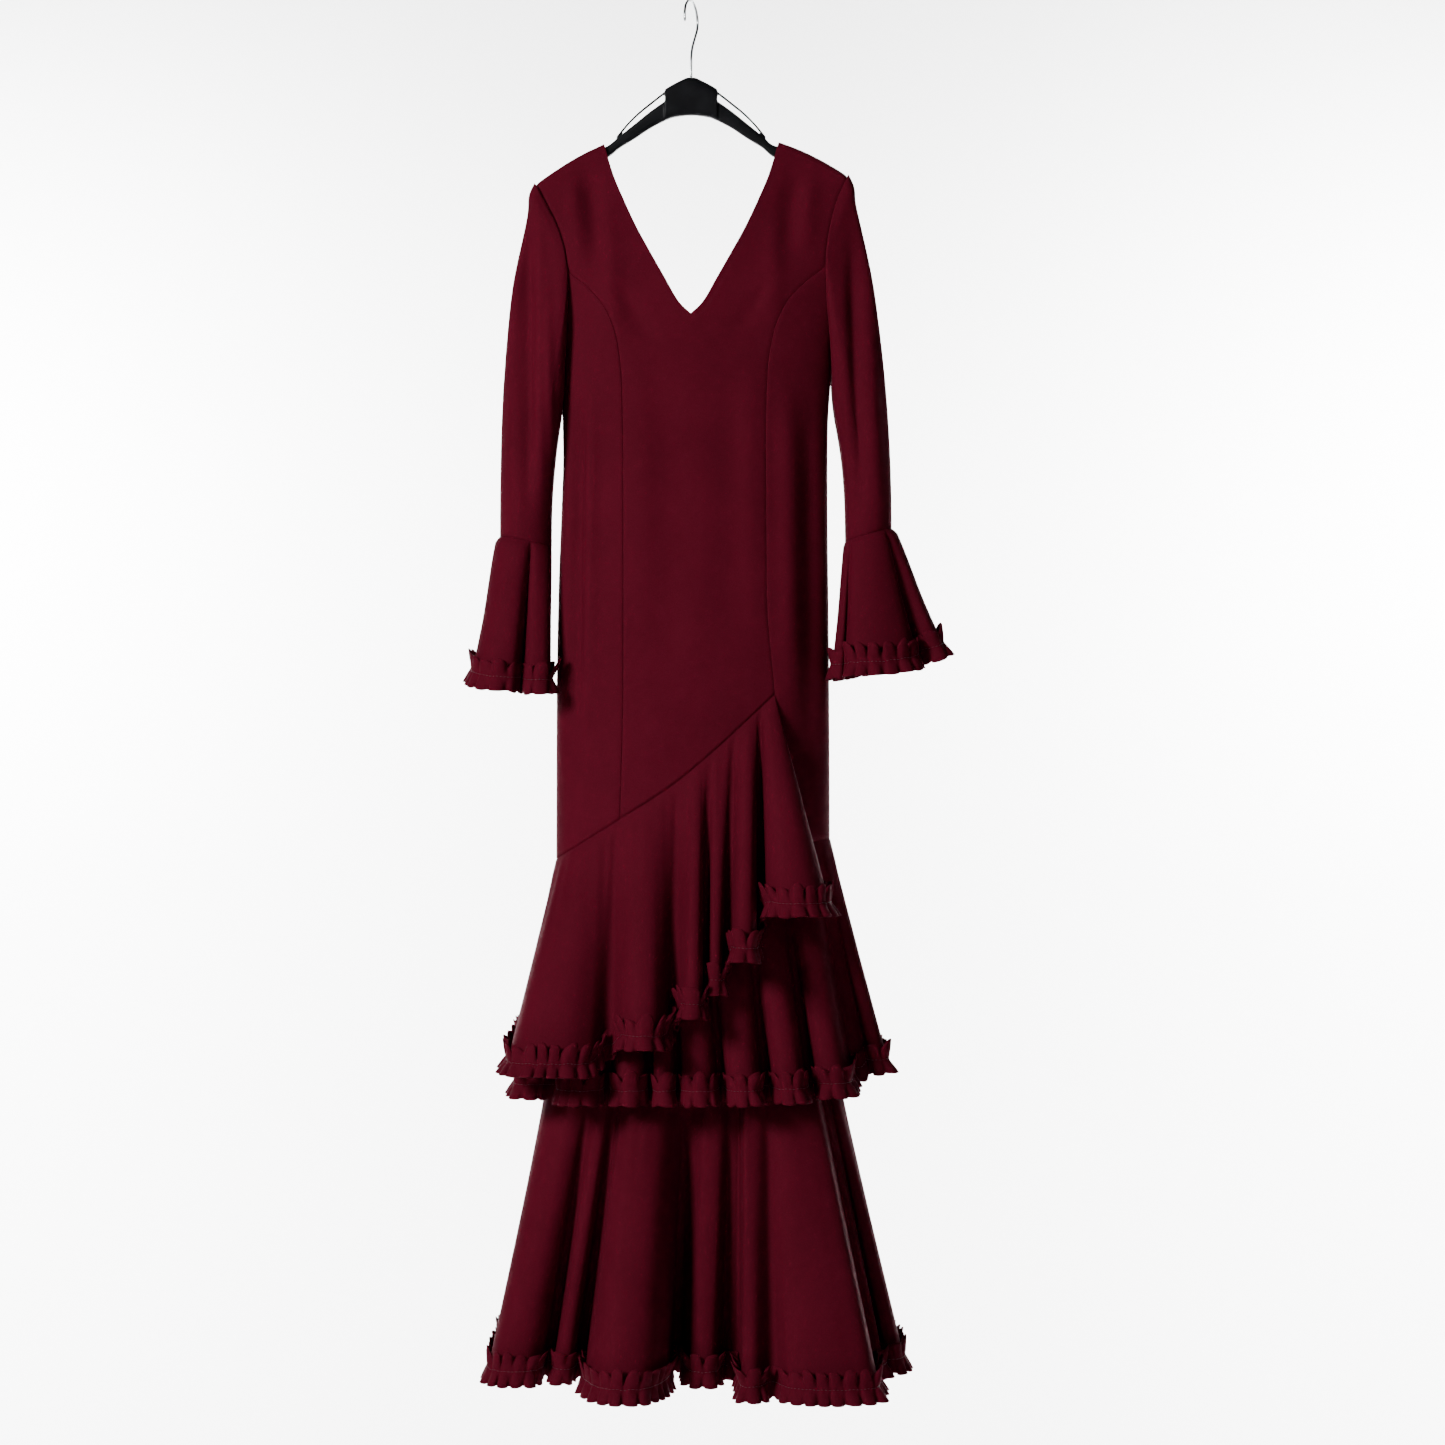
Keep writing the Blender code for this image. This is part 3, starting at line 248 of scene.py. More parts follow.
def even_places(
    knots: Array, table: Array, ends: tuple[float, float], samples: int, step: float
) -> Array:
    """Places that step evenly along the smooth curve through a table of hem points.

    Args:
        knots: place of each row of the table.
        table: rows whose second to fourth values are a point.
        ends: first and last place.
        samples: how finely the curve is measured.
        step: distance between places, about.

    Returns:
        The places, both ends among them.
    """
    dense = np.linspace(*ends, samples)
    along = arc_length(spline(knots, table, dense)[:, 1:4])
    count = max(8, round(along[-1] / step))
    return np.interp(np.linspace(0, along[-1], count + 1), along, dense)


def end_fade(along: Array, total: float, reach: float) -> Array:
    """Rises from 0 to 1 over a reach at the start of a line and falls again at its end."""
    return smooth_step(0, reach, along) * smooth_step(total, total - reach, along)


def grid_faces(rows: int, columns: int, closed: bool) -> list[Face]:
    """Four-sided faces of a grid of points, seen from outside."""
    made = []
    for top in range(0, (rows - 1) * columns, columns):
        below = top + columns
        for step in range(columns if closed else columns - 1):
            right = (step + 1) % columns
            made.append((top + step, below + step, below + right, top + right))
    return made


def rod_faces(rings: int, sides: int) -> list[Face]:
    """Faces of a rod with flat ends."""
    ends = [tuple(range(sides)), tuple(range((rings - 1) * sides, rings * sides))]
    return grid_faces(rings, sides, True) + ends


def table_of(kind: Callable, *rows: Row) -> tuple:
    """One record of a kind for each row of numbers."""
    return tuple(kind(*row) for row in rows)


@dataclass(frozen=True)
class Shoulder:
    """A shoulder seam's line, from the neck outwards."""

    neck: float
    height: float
    slope: float
    curl: float


@dataclass(frozen=True)
class SeamRow:
    """A point of a seam in front view; at is its share of the way from the shoulder."""

    at: float
    x: float
    z: float


@dataclass(frozen=True)
class Crease:
    """A soft fold pressed into the cloth, from its top to its bottom in front view."""

    x_top: float
    z_top: float
    x_bottom: float
    z_bottom: float
    width: float
    height: float

    def push(self, points: Array, rise: float, fall: float, widen: float) -> Array:
        """How far it pushes each point out.

        Args:
            points: points of the cloth.
            rise: share of its length over which it grows.
            fall: share at which it starts to fade.
            widen: how much wider it is at its foot, as a share.

        Returns:
            One distance for each point.
        """
        share = np.clip((self.z_top - points[..., 2]) / (self.z_top - self.z_bottom), 0, 1)
        middle = self.x_top + (self.x_bottom - self.x_top) * share
        along = smooth_step(0, rise, share) * smooth_step(1, fall, share)
        width = self.width * (1 + widen * share)
        return self.height * along * np.exp(-(((points[..., 0] - middle) / width) ** 2))


@dataclass(frozen=True)
class Body:
    """The dress between shoulders and flounces, as a hollow form."""

    left_shoulder: Shoulder = Shoulder(102, -168, 0.42, 0.0021)
    right_shoulder: Shoulder = Shoulder(104, -166, 0.32, 0.0022)
    roll: float = 8.0
    roll_from: float = -300.0
    roll_to: float = -398.0
    roundness: float = 2.4
    probe: float = 0.0015
    widths: tuple[tuple[float, float, float], ...] = (
        (-1260, 160, 162), (-1010, 158.5, 163), (-820, 158, 162.5), (-700, 156, 161.5),
        (-590, 152, 160.5), (-541, 150.5, 160.5), (-500, 151, 161), (-440, 153.5, 165),
        (-398, 155, 168), (-370, 160, 172), (-340, 167, 180), (-300, 178, 190), (-260, 190, 197),
        (-215, 198, 202), (-150, 200, 204),
    )
    depths: tuple[tuple[float, float], ...] = (
        (0, 0), (20, 3), (60, 9), (120, 22), (180, 34), (250, 43), (350, 50), (500, 58), (700, 68),
        (850, 75), (1150, 80),
    )

    def shoulder_height(self, x: Array) -> Array:
        """Height of the shoulder seam above each x."""
        x = np.asarray(x, float)
        heights = []
        for line in (self.left_shoulder, self.right_shoulder):
            beyond = np.maximum(np.abs(x) - line.neck, 0)
            heights.append(line.height - line.slope * beyond - line.curl * beyond**2)
        share = smooth_step(-self.left_shoulder.neck, self.right_shoulder.neck, x)
        return heights[0] * (1 - share) + heights[1] * share

    def half_width(self, side: Array, z: Array) -> Array:
        """Half width on the side that side's sign names."""
        rows = np.array(self.widths)
        left = eased(rows[:, 0], rows[:, 1], z)
        right = eased(rows[:, 0], rows[:, 2], z)
        return np.where(side < 0, left, right)

    def point(self, angle: Array, z: Array) -> Array:
        """Middle of the cloth.

        Args:
            angle: 0 is the front and a quarter turn the right side.
            z: height.

        Returns:
            Points, with a last axis of three.
        """
        angle, z = np.broadcast_arrays(np.asarray(angle, float), np.asarray(z, float))
        across = np.sin(angle)
        x = across * self.half_width(across, z)
        drop = np.maximum(self.shoulder_height(x) - z, 0)
        rolled = np.minimum(drop, self.roll) / self.roll
        roll = self.roll * np.sqrt(1 - (1 - rolled) ** 2)
        roll = roll * smooth_step(self.roll_to, self.roll_from, z)
        rows = np.array(self.depths)
        swell = eased(rows[:, 0], rows[:, 1], drop)
        share = np.maximum(1 - np.abs(across) ** self.roundness, 0) ** (1 / self.roundness)
        y = -np.sign(np.cos(angle)) * (roll + swell * share)
        return np.stack([x, y, z], axis=-1)

    def normal(self, angle: Array, z: Array) -> Array:
        """Outward direction of the cloth there."""
        angle = np.asarray(angle, float)
        z = np.asarray(z, float)
        around = self.point(angle + self.probe, z) - self.point(angle - self.probe, z)
        down = self.point(angle, z + 0.05) - self.point(angle, z - 0.05)
        return unit(np.cross(around, down))

    def angle_at(self, x: Array, z: Array, back: bool = False) -> Array:
        """Angle of the cloth at an x and a height."""
        share = np.clip(x / self.half_width(np.asarray(x), z), -1, 1)
        angle = np.arcsin(share)
        return math.pi - angle if back else angle


class SeamLines:
    """The sewn lines between body, flounces and skirt."""

    slant_x = (-158.5, -81.5, -22, 26, 62, 97.5)
    slant_z = (-1010, -961.6, -923, -883.5, -850.5, -817)
    second_middle = -1010.0
    second_rise = 0.153
    third = -1215.0

    @classmethod
    def slant(cls, x: Array) -> Array:
        """Height of the upper flounce's seam."""
        return eased(cls.slant_x, cls.slant_z, x)

    @classmethod
    def second(cls, x: Array) -> Array:
        """Height of the middle flounce's seam."""
        return cls.second_middle + cls.second_rise * np.asarray(x, float)

    @classmethod
    def third_seam(cls, x: Array) -> Array:
        """Height of the lower flounce's seam."""
        return cls.third + 0 * np.asarray(x, float)


@dataclass
class Sheet:
    """A grid of cloth, from top to bottom and from side to side."""

    name: str
    points: Array
    replaces: tuple[str, ...]
    held: Held
    rests_on: tuple[str, ...]
    closed: bool = False
    thickness: float = 1.1

    def cut_size(self) -> tuple[float, float, float]:
        """Width, length and area that the cloth was cut to, in metres."""
        ring = self.points
        if self.closed:
            ring = np.concatenate([ring, ring[:, :1]], axis=1)
        across = np.linalg.norm(np.diff(ring, axis=1), axis=2).sum(axis=1)
        down = np.linalg.norm(np.diff(ring, axis=0), axis=2).sum(axis=0)
        one = np.cross(ring[:-1, 1:] - ring[:-1, :-1], ring[1:, :-1] - ring[:-1, :-1])
        two = np.cross(ring[1:, 1:] - ring[1:, :-1], ring[1:, 1:] - ring[:-1, 1:])
        area = (np.linalg.norm(one, axis=-1) + np.linalg.norm(two, axis=-1)).sum() / 2
        width = float(across.max()) * MM
        length = float(down.max()) * MM
        return width, length, min(float(area) * MM * MM, width * length)

    def build(self, finish: Finish) -> Piece:
        """Makes the mesh, lets it ride on the frame and states its cut.

        Args:
            finish: the cloth's material.

        Returns:
            The piece.
        """
        faces = grid_faces(*self.points.shape[:2], self.closed)
        made = mesh_object(self.name, self.points.reshape(-1, 3), faces, finish)
        return self.settle(made, *self.cut_size())

    def settle(self, made: Piece, width: float, length: float, area: float) -> Piece:
        """Gives the mesh its thickness, lets it ride on the frame and states its cut.

        Args:
            made: the piece's mesh.
            width: the cut's width in metres.
            length: its length.
            area: its area in square metres.

        Returns:
            The piece.
        """
        wall = made.modifiers.new("thickness", "SOLIDIFY")
        wall.thickness = self.thickness * MM
        wall.offset = 0.0
        place(made, Slot.CLOTH, self.replaces)
        rests_on = list(self.rests_on)
        LOG.info("%s cut %.3f x %.3f m, %.3f square metres", self.name, width, length, area)
        return made


def mesh_object(
    name: str,
    points: Array,
    faces: Sequence[Face],
    finish: Finish,
    turn_out: bool = False,
) -> Piece:
    """Makes a smooth shaded mesh from points in millimetres.

    Args:
        name: the piece's name.
        points: one point to a row.
        faces: indices of the points round each face.
        finish: its material.
        turn_out: whether a closed form's faces are turned outwards.

    Returns:
        The piece.
    """
    mesh = bpy.data.meshes.new(name)
    mesh.from_pydata((np.asarray(points) * MM).tolist(), [], [tuple(face) for face in faces])
    if turn_out:
        work = bmesh.new()
        work.from_mesh(mesh)
        bmesh.ops.recalc_face_normals(work, faces=work.faces)
        work.to_mesh(mesh)
        work.free()
    mesh.shade_smooth()
    mesh.materials.append(finish)
    made = bpy.data.objects.new(name, mesh)
    bpy.context.scene.collection.objects.link(made)
    return made


def place(piece: Piece, slot: Slot, nodes: Sequence[str] = ()) -> None:
    """Lets a piece ride on the frame in place of CAD nodes."""
    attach(piece, ROOT)
    if nodes:
        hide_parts(*nodes)


@dataclass(frozen=True)
class Bodice:
    """Seven panels of the body, with their seams and the soft folds that they hang in."""

    body: Body
    meet_princess: float = 0.15
    meet_middle: float = 0.32
    back_neck_drop: float = 12.0
    left_side: float = LEFT_SIDE_X
    right_side: float = RIGHT_SIDE_X
    groove: float = 0.9
    groove_width: float = 2.2
    fold_start: float = 40.0
    row_step: float = 0.0065
    half_columns: int = 34
    side_columns: int = 26
    end_rows: int = 25
    left_princess: tuple[SeamRow, ...] = table_of(
        SeamRow, (0.00, -183, -216), (0.04, -171, -240), (0.08, -157, -268), (0.12, -148, -297),
        (0.15, -144, -319), (0.19, -121, -340), (0.25, -97, -371), (0.31, -85.5, -407),
        (0.38, -80.5, -452), (0.52, -78.5, -550), (0.80, -78, -800), (1.00, -81.5, -961.6),
    )
    right_princess: tuple[SeamRow, ...] = table_of(
        SeamRow, (0.00, 184, -208), (0.04, 171, -239), (0.08, 163, -270), (0.12, 159, -297),
        (0.15, 158, -313), (0.19, 137, -332), (0.25, 112, -359), (0.31, 97, -394),
        (0.38, 89.6, -440), (0.52, 87.5, -520), (0.80, 88.5, -700), (1.00, 97.5, -817),
    )
    right_end: SeamRow = SeamRow(1.24, 101, -994)
    left_underarm: tuple[SeamRow, ...] = table_of(
        SeamRow, (0.0, -155, -398), (0.3, -149.5, -388), (0.65, -144.5, -360), (1.0, -144, -319),
    )
    right_underarm: tuple[SeamRow, ...] = table_of(
        SeamRow, (0.0, 168, -398), (0.3, 163.5, -388), (0.65, 159, -358), (1.0, 158, -313),
    )
    neckline: tuple[SeamRow, ...] = table_of(
        SeamRow, (0.00, 103, -167), (0.06, 91, -206.7), (0.11, 78.5, -237), (0.16, 63.7, -269.5),
        (0.205, 48, -299), (0.25, 31, -329.5), (0.295, 12.5, -361), (0.32, 0, -373),
    )
    creases: tuple[Crease, ...] = table_of(
        Crease, (-122, -190, -104, -345, 13, -6.4), (-140, -200, -126, -320, 9, 3.6),
        (-103, -230, -84, -420, 10, 4.4), (124, -190, 106, -335, 13, -5.2),
        (141, -200, 130, -310, 9, 3.2), (104, -240, 88, -400, 10, 3.6),
        (-62, -400, -50, -760, 15, 1.9), (-30, -430, -26, -880, 16, -1.7),
        (6, -420, 10, -860, 18, 1.5), (44, -400, 50, -820, 14, -1.8), (70, -390, 72, -800, 11, 1.8),
        (-116, -430, -120, -900, 6, 5.0), (-131, -420, -135, -940, 7, -9.0),
        (112, -420, 116, -900, 10, 5.6), (138, -430, 140, -960, 9, -5.2),
        (-90, -330, -40, -420, 9, -2.4), (100, -320, 44, -410, 9, -2.4),
    )

    def seam(self, table: tuple[SeamRow, ...], at: Array, mirror: int = 1) -> tuple[Array, Array]:
        """x and z of a seam at shares of its length."""
        knots = [row.at for row in table]
        x = eased(knots, [row.x for row in table], at) * mirror
        z = eased(knots, [row.z for row in table], at)
        return x, z

    def pairs(self, x: Array, z: Array, back: bool) -> Array:
        """Angle and height pairs of front view points."""
        return np.stack([self.body.angle_at(x, z, back), z], axis=-1)

    def rows(self) -> Array:
        """Shares of a panel's length at which it has a row."""
        start = np.array([0.0, 0.0015, 0.004, 0.008, 0.014, 0.022, 0.031])
        meets = [0.04, 0.08, 0.12, self.meet_princess, 0.19, 0.25, self.meet_middle, 1.0]
        made = list(start)
        for high in meets:
            count = max(1, round((high - made[-1]) / self.row_step))
            made += list(np.linspace(made[-1], high, count + 1)[1:])
        return np.array(made)

    @staticmethod
    def spread(count: int) -> Array:
        """Shares across a panel, closer together beside its seams."""
        even = np.linspace(0, 1, count + 1)
        return even - 0.35 * np.sin(2 * math.pi * even) / (2 * math.pi) * 2

    @staticmethod
    def patch(left: Array, right: Array, top: Array, bottom: Array, at: Array) -> Array:
        """Fills four edges with a smooth grid.

        Args:
            left: pairs down the left edge.
            right: pairs down the right edge.
            top: pairs along the top.
            bottom: pairs along the bottom.
            at: place of each row.

        Returns:
            A grid of pairs.
        """
        across = Bodice.spread(len(top) - 1)[None, :, None]
        down = ((at - at[0]) / (at[-1] - at[0]))[:, None, None]
        sides = (1 - across) * left[:, None] + across * right[:, None]
        ends = (1 - down) * top[None] + down * bottom[None]
        corners = (1 - across) * (1 - down) * top[0] + across * (1 - down) * top[-1]
        corners = corners + (1 - across) * down * bottom[0] + across * down * bottom[-1]
        return sides + ends - corners

    def half_panel(self, side: int, back: bool) -> Array:
        """Angle and height grid of the middle panel's half, from armhole to middle."""
        rows = self.rows()
        princess = self.left_princess if side < 0 else self.right_princess
        x, z = self.seam(princess, rows)
        z[0] = self.body.shoulder_height(x[0])
        z[-1] = SeamLines.slant(x[-1])
        outer = self.pairs(x, z, back)
        neck_rows = rows[rows <= self.meet_middle + 1e-9]
        x, z = self.seam(self.neckline, neck_rows, side)
        if back:
            z = z - self.back_neck_drop * smooth_step(0.1, self.meet_middle, neck_rows)
        z[0] = self.body.shoulder_height(x[0])
        lower = rows[rows > self.meet_middle + 1e-9]
        share = (lower - self.meet_middle) / (1 - self.meet_middle)
        lower_z = z[-1] + (SeamLines.slant(0.0) - z[-1]) * share
        x = np.concatenate([x, np.zeros(len(lower))])
        z = np.concatenate([z, lower_z])
        inner = self.pairs(x, z, back)
        share = self.spread(self.half_columns)
        top_x = self.front_x(outer[0]) * (1 - share) + self.front_x(inner[0]) * share
        top = self.pairs(top_x, self.body.shoulder_height(top_x), back)
        low_x = self.front_x(outer[-1]) * (1 - share) + self.front_x(inner[-1]) * share
        bottom = self.pairs(low_x, SeamLines.slant(low_x), back)
        grid = self.patch(outer, inner, top, bottom, rows)
        return grid if side < 0 else grid[:, ::-1]

    def front_x(self, pair: Array) -> float:
        """x of an angle and height pair."""
        return float(self.body.point(pair[0], pair[1])[0])

    def underarm(self, side: int, back: bool) -> Array:
        """Pairs along the armhole's lower edge, from the side seam to the princess seam."""
        table = self.left_underarm if side < 0 else self.right_underarm
        x, z = self.seam(table, self.spread(self.side_columns))
        pairs = self.pairs(x, z, back)
        pairs[0, 0] = math.pi - side * QUARTER if back else side * QUARTER
        return pairs

    def side_panel(self, side: int, back: bool) -> Array:
        """Angle and height grid of a side panel, from side seam to princess seam."""
        rows = self.rows()
        rows = rows[rows >= self.meet_princess - 1e-9]
        princess = self.left_princess if side < 0 else self.right_princess
        line = SeamLines.slant if side < 0 else SeamLines.second
        side_x = self.left_side if side < 0 else self.right_side
        x, z = self.seam(princess, rows)
        if side > 0:
            more = np.linspace(0, 1, self.end_rows + 1)[1:]
            rows = np.concatenate([rows, 1 + (self.right_end.at - 1) * more])
            x = np.concatenate([x, x[-1] + (self.right_end.x - x[-1]) * more])
            z = np.concatenate([z, z[-1] + (self.right_end.z - z[-1]) * more])
        z[-1] = line(x[-1])
        inner = self.pairs(x, z, back)
        top = self.underarm(side, back)
        top[-1] = inner[0]
        side_bottom = float(line(side_x))
        share = (rows - rows[0]) / (rows[-1] - rows[0])
        seam_z = top[0, 1] + (side_bottom - top[0, 1]) * share
        outer = np.stack([np.full(len(rows), top[0, 0]), seam_z], axis=-1)
        share = self.spread(self.side_columns)
        angle = outer[-1, 0] + (inner[-1, 0] - outer[-1, 0]) * share
        bottom_z = np.full(len(share), side_bottom)
        for _ in range(4):
            bottom_z = line(self.body.point(angle, bottom_z)[:, 0])
        bottom = np.stack([angle, bottom_z], axis=-1)
        return self.patch(outer, inner, top, bottom, rows)

    def folded(self, points: Array) -> Array:
        """How far the soft folds push each point out."""
        return sum(crease.push(points, 0.3, 0.6, 0.5) for crease in self.creases)

    def surface(self, grid: Array, seams: tuple[bool, bool]) -> Array:
        """Points of a panel, with its folds and the dip beside each seam.

        Args:
            grid: angle and height of each point.
            seams: whether its first and last columns are sewn.

        Returns:
            The points.
        """
        points = self.body.point(grid[..., 0], grid[..., 1])
        normals = self.body.normal(grid[..., 0], grid[..., 1])
        across = np.cumsum(np.linalg.norm(np.diff(points, axis=1), axis=2), axis=1)
        across = np.concatenate([np.zeros((len(points), 1)), across], axis=1)
        drop = self.body.shoulder_height(points[..., 0]) - points[..., 2]
        out = self.folded(points) * smooth_step(0, self.fold_start, drop)
        for sewn, away in zip(seams, (across, across[:, -1:] - across)):
            if sewn:
                out = out - self.groove * np.exp(-((away / self.groove_width) ** 2))
        return points + normals * out[..., None]

    def build(self, finish: Finish) -> list[Piece]:
        """Makes the seven panels."""
        made = [self.front(finish)]
        for side, word in ((-1, "left"), (1, "right")):
            grid = self.half_panel(side, True)
            points = self.surface(grid, (True, True))[:, ::-1]
            made.append(self.sheet(f"back_{word}", points).build(finish))
            for back, face in ((False, "front"), (True, "back")):
                points = self.surface(self.side_panel(side, back), (True, True))
                if (side > 0) != back:
                    points = points[:, ::-1]
                made.append(self.sheet(f"{face}_side_{word}", points).build(finish))
        return made

    def sheet(self, name: str, points: Array) -> Sheet:
        """A panel hung from the hanger."""
        return Sheet(f"{name}_panel", points, (name,), Held.HUNG, ("hanger_moulding",))

    def front(self, finish: Finish) -> Piece:
        """Makes the front panel: two halves that meet below the V."""
        sewn = ((-1, (True, False)), (1, (False, True)))
        halves = [self.surface(self.half_panel(side, False), seams) for side, seams in sewn]
        rows = self.rows()
        joined = np.concatenate([halves[0], halves[1]], axis=1)
        columns = halves[0].shape[1]
        both = joined.shape[1]
        keep = {}
        for row, at in enumerate(rows):
            if at >= self.meet_middle - 1e-9:
                keep[row * both + columns] = row * both + columns - 1
        faces = []
        for row in range(len(rows) - 1):
            for step in range(both - 1):
                if step == columns - 1:
                    continue
                top = row * both + step
                face = (top, top + both, top + both + 1, top + 1)
                faces.append(tuple(keep.get(index, index) for index in face))
        sheet = self.sheet("front_centre", joined)
        made = mesh_object(sheet.name, joined.reshape(-1, 3), faces, finish)
        work = bmesh.new()
        work.from_mesh(made.data)
        loose = [vertex for vertex in work.verts if not vertex.link_faces]
        bmesh.ops.delete(work, geom=loose, context="VERTS")
        work.to_mesh(made.data)
        work.free()
        sizes = [Sheet("half", half, (), Held.HUNG, ()).cut_size() for half in halves]
        width = max(size[0] for size in sizes) * 2
        length = max(size[1] for size in sizes)
        return sheet.settle(made, width, length, sum(size[2] for size in sizes))


@dataclass(frozen=True)
class Skirt:
    """The plain underskirt that carries the two lower flounces."""

    body: Body
    inset: float = 2.3
    above: float = 3.0
    right_top: float = -972.0
    probe_z: float = -980.0
    past: tuple[float, float] = (98.0, 160.0)
    columns: int = 60
    levels: int = 16

    def build(self, finish: Finish) -> list[Piece]:
        """Makes its front and back."""
        made = []
        for back in (False, True):
            angles = np.linspace(-QUARTER, QUARTER, self.columns + 1)
            x = self.body.point(angles, np.full(len(angles), self.probe_z))[:, 0]
            top = SeamLines.slant(x) + self.above
            past = smooth_step(*self.past, x)
            top = top * (1 - past) + self.right_top * past
            share = np.linspace(0, 1, self.levels + 1)[:, None]
            z = top[None] + (SeamLines.third - top[None]) * share
            turned = math.pi - angles[::-1] if back else angles
            z = z[:, ::-1] if back else z
            spread = np.broadcast_to(turned[None], z.shape)
            points = self.body.point(spread, z)
            inset = self.inset * (1 - share[:, :, None] ** 2)
            points = points - self.body.normal(spread, z) * inset
            name = "skirt_back" if back else "skirt_front"
            sheet = Sheet(f"{name}_panel", points, (name,), Held.HUNG, ("front_centre_panel",))
            made.append(sheet.build(finish))
        return made


@dataclass(frozen=True)
class Fold:
    """A fold of a flounce: x on its seam, x and y on its hem, and the hem's height."""

    seam_left: float
    seam_right: float
    left: float
    right: float
    crest: float
    z: float
    dip: float


@dataclass(frozen=True)
class SidePlace:
    """Where a flounce's hem passes a side of the dress."""

    x: float
    y: float
    z: float


@dataclass(frozen=True)
class RuffleCut:
    """A narrow strip gathered along its middle, sewn over a flounce's hem."""

    above: float = 23.0
    stitch: float = 5.0
    below: float = 12.0
    pitch: float = 15.8
    step: float = 1.25
    rows: int = 11
    wave: float = 7.8
    tip: float = 8.4
    loop: float = 0.9
    flare: float = 2.3
    droop: float = 2.4
    stand: float = 2.2
    least: float = 0.5
    reach: float = 6.0
    stitch_length: float = 2.6
    stitch_gap: float = 1.9

    def seam_share(self) -> float:
        """How far down the strip its line of stitches is."""
        return (self.above - self.stitch) / (self.above + self.below)

    def below_hem(self) -> Array:
        """Distance of each row of the strip below the flounce's hem."""
        return -self.above + (self.above + self.below) * self.shares()

    def shares(self) -> Array:
        """Places of the strip's rows across its width."""
        return np.linspace(0, 1, self.rows)


@dataclass(frozen=True)
class HemLine:
    """Columns along a flounce: angle on its seam, hem point and seam height."""

    angle: Array
    hem: Array
    height: Array


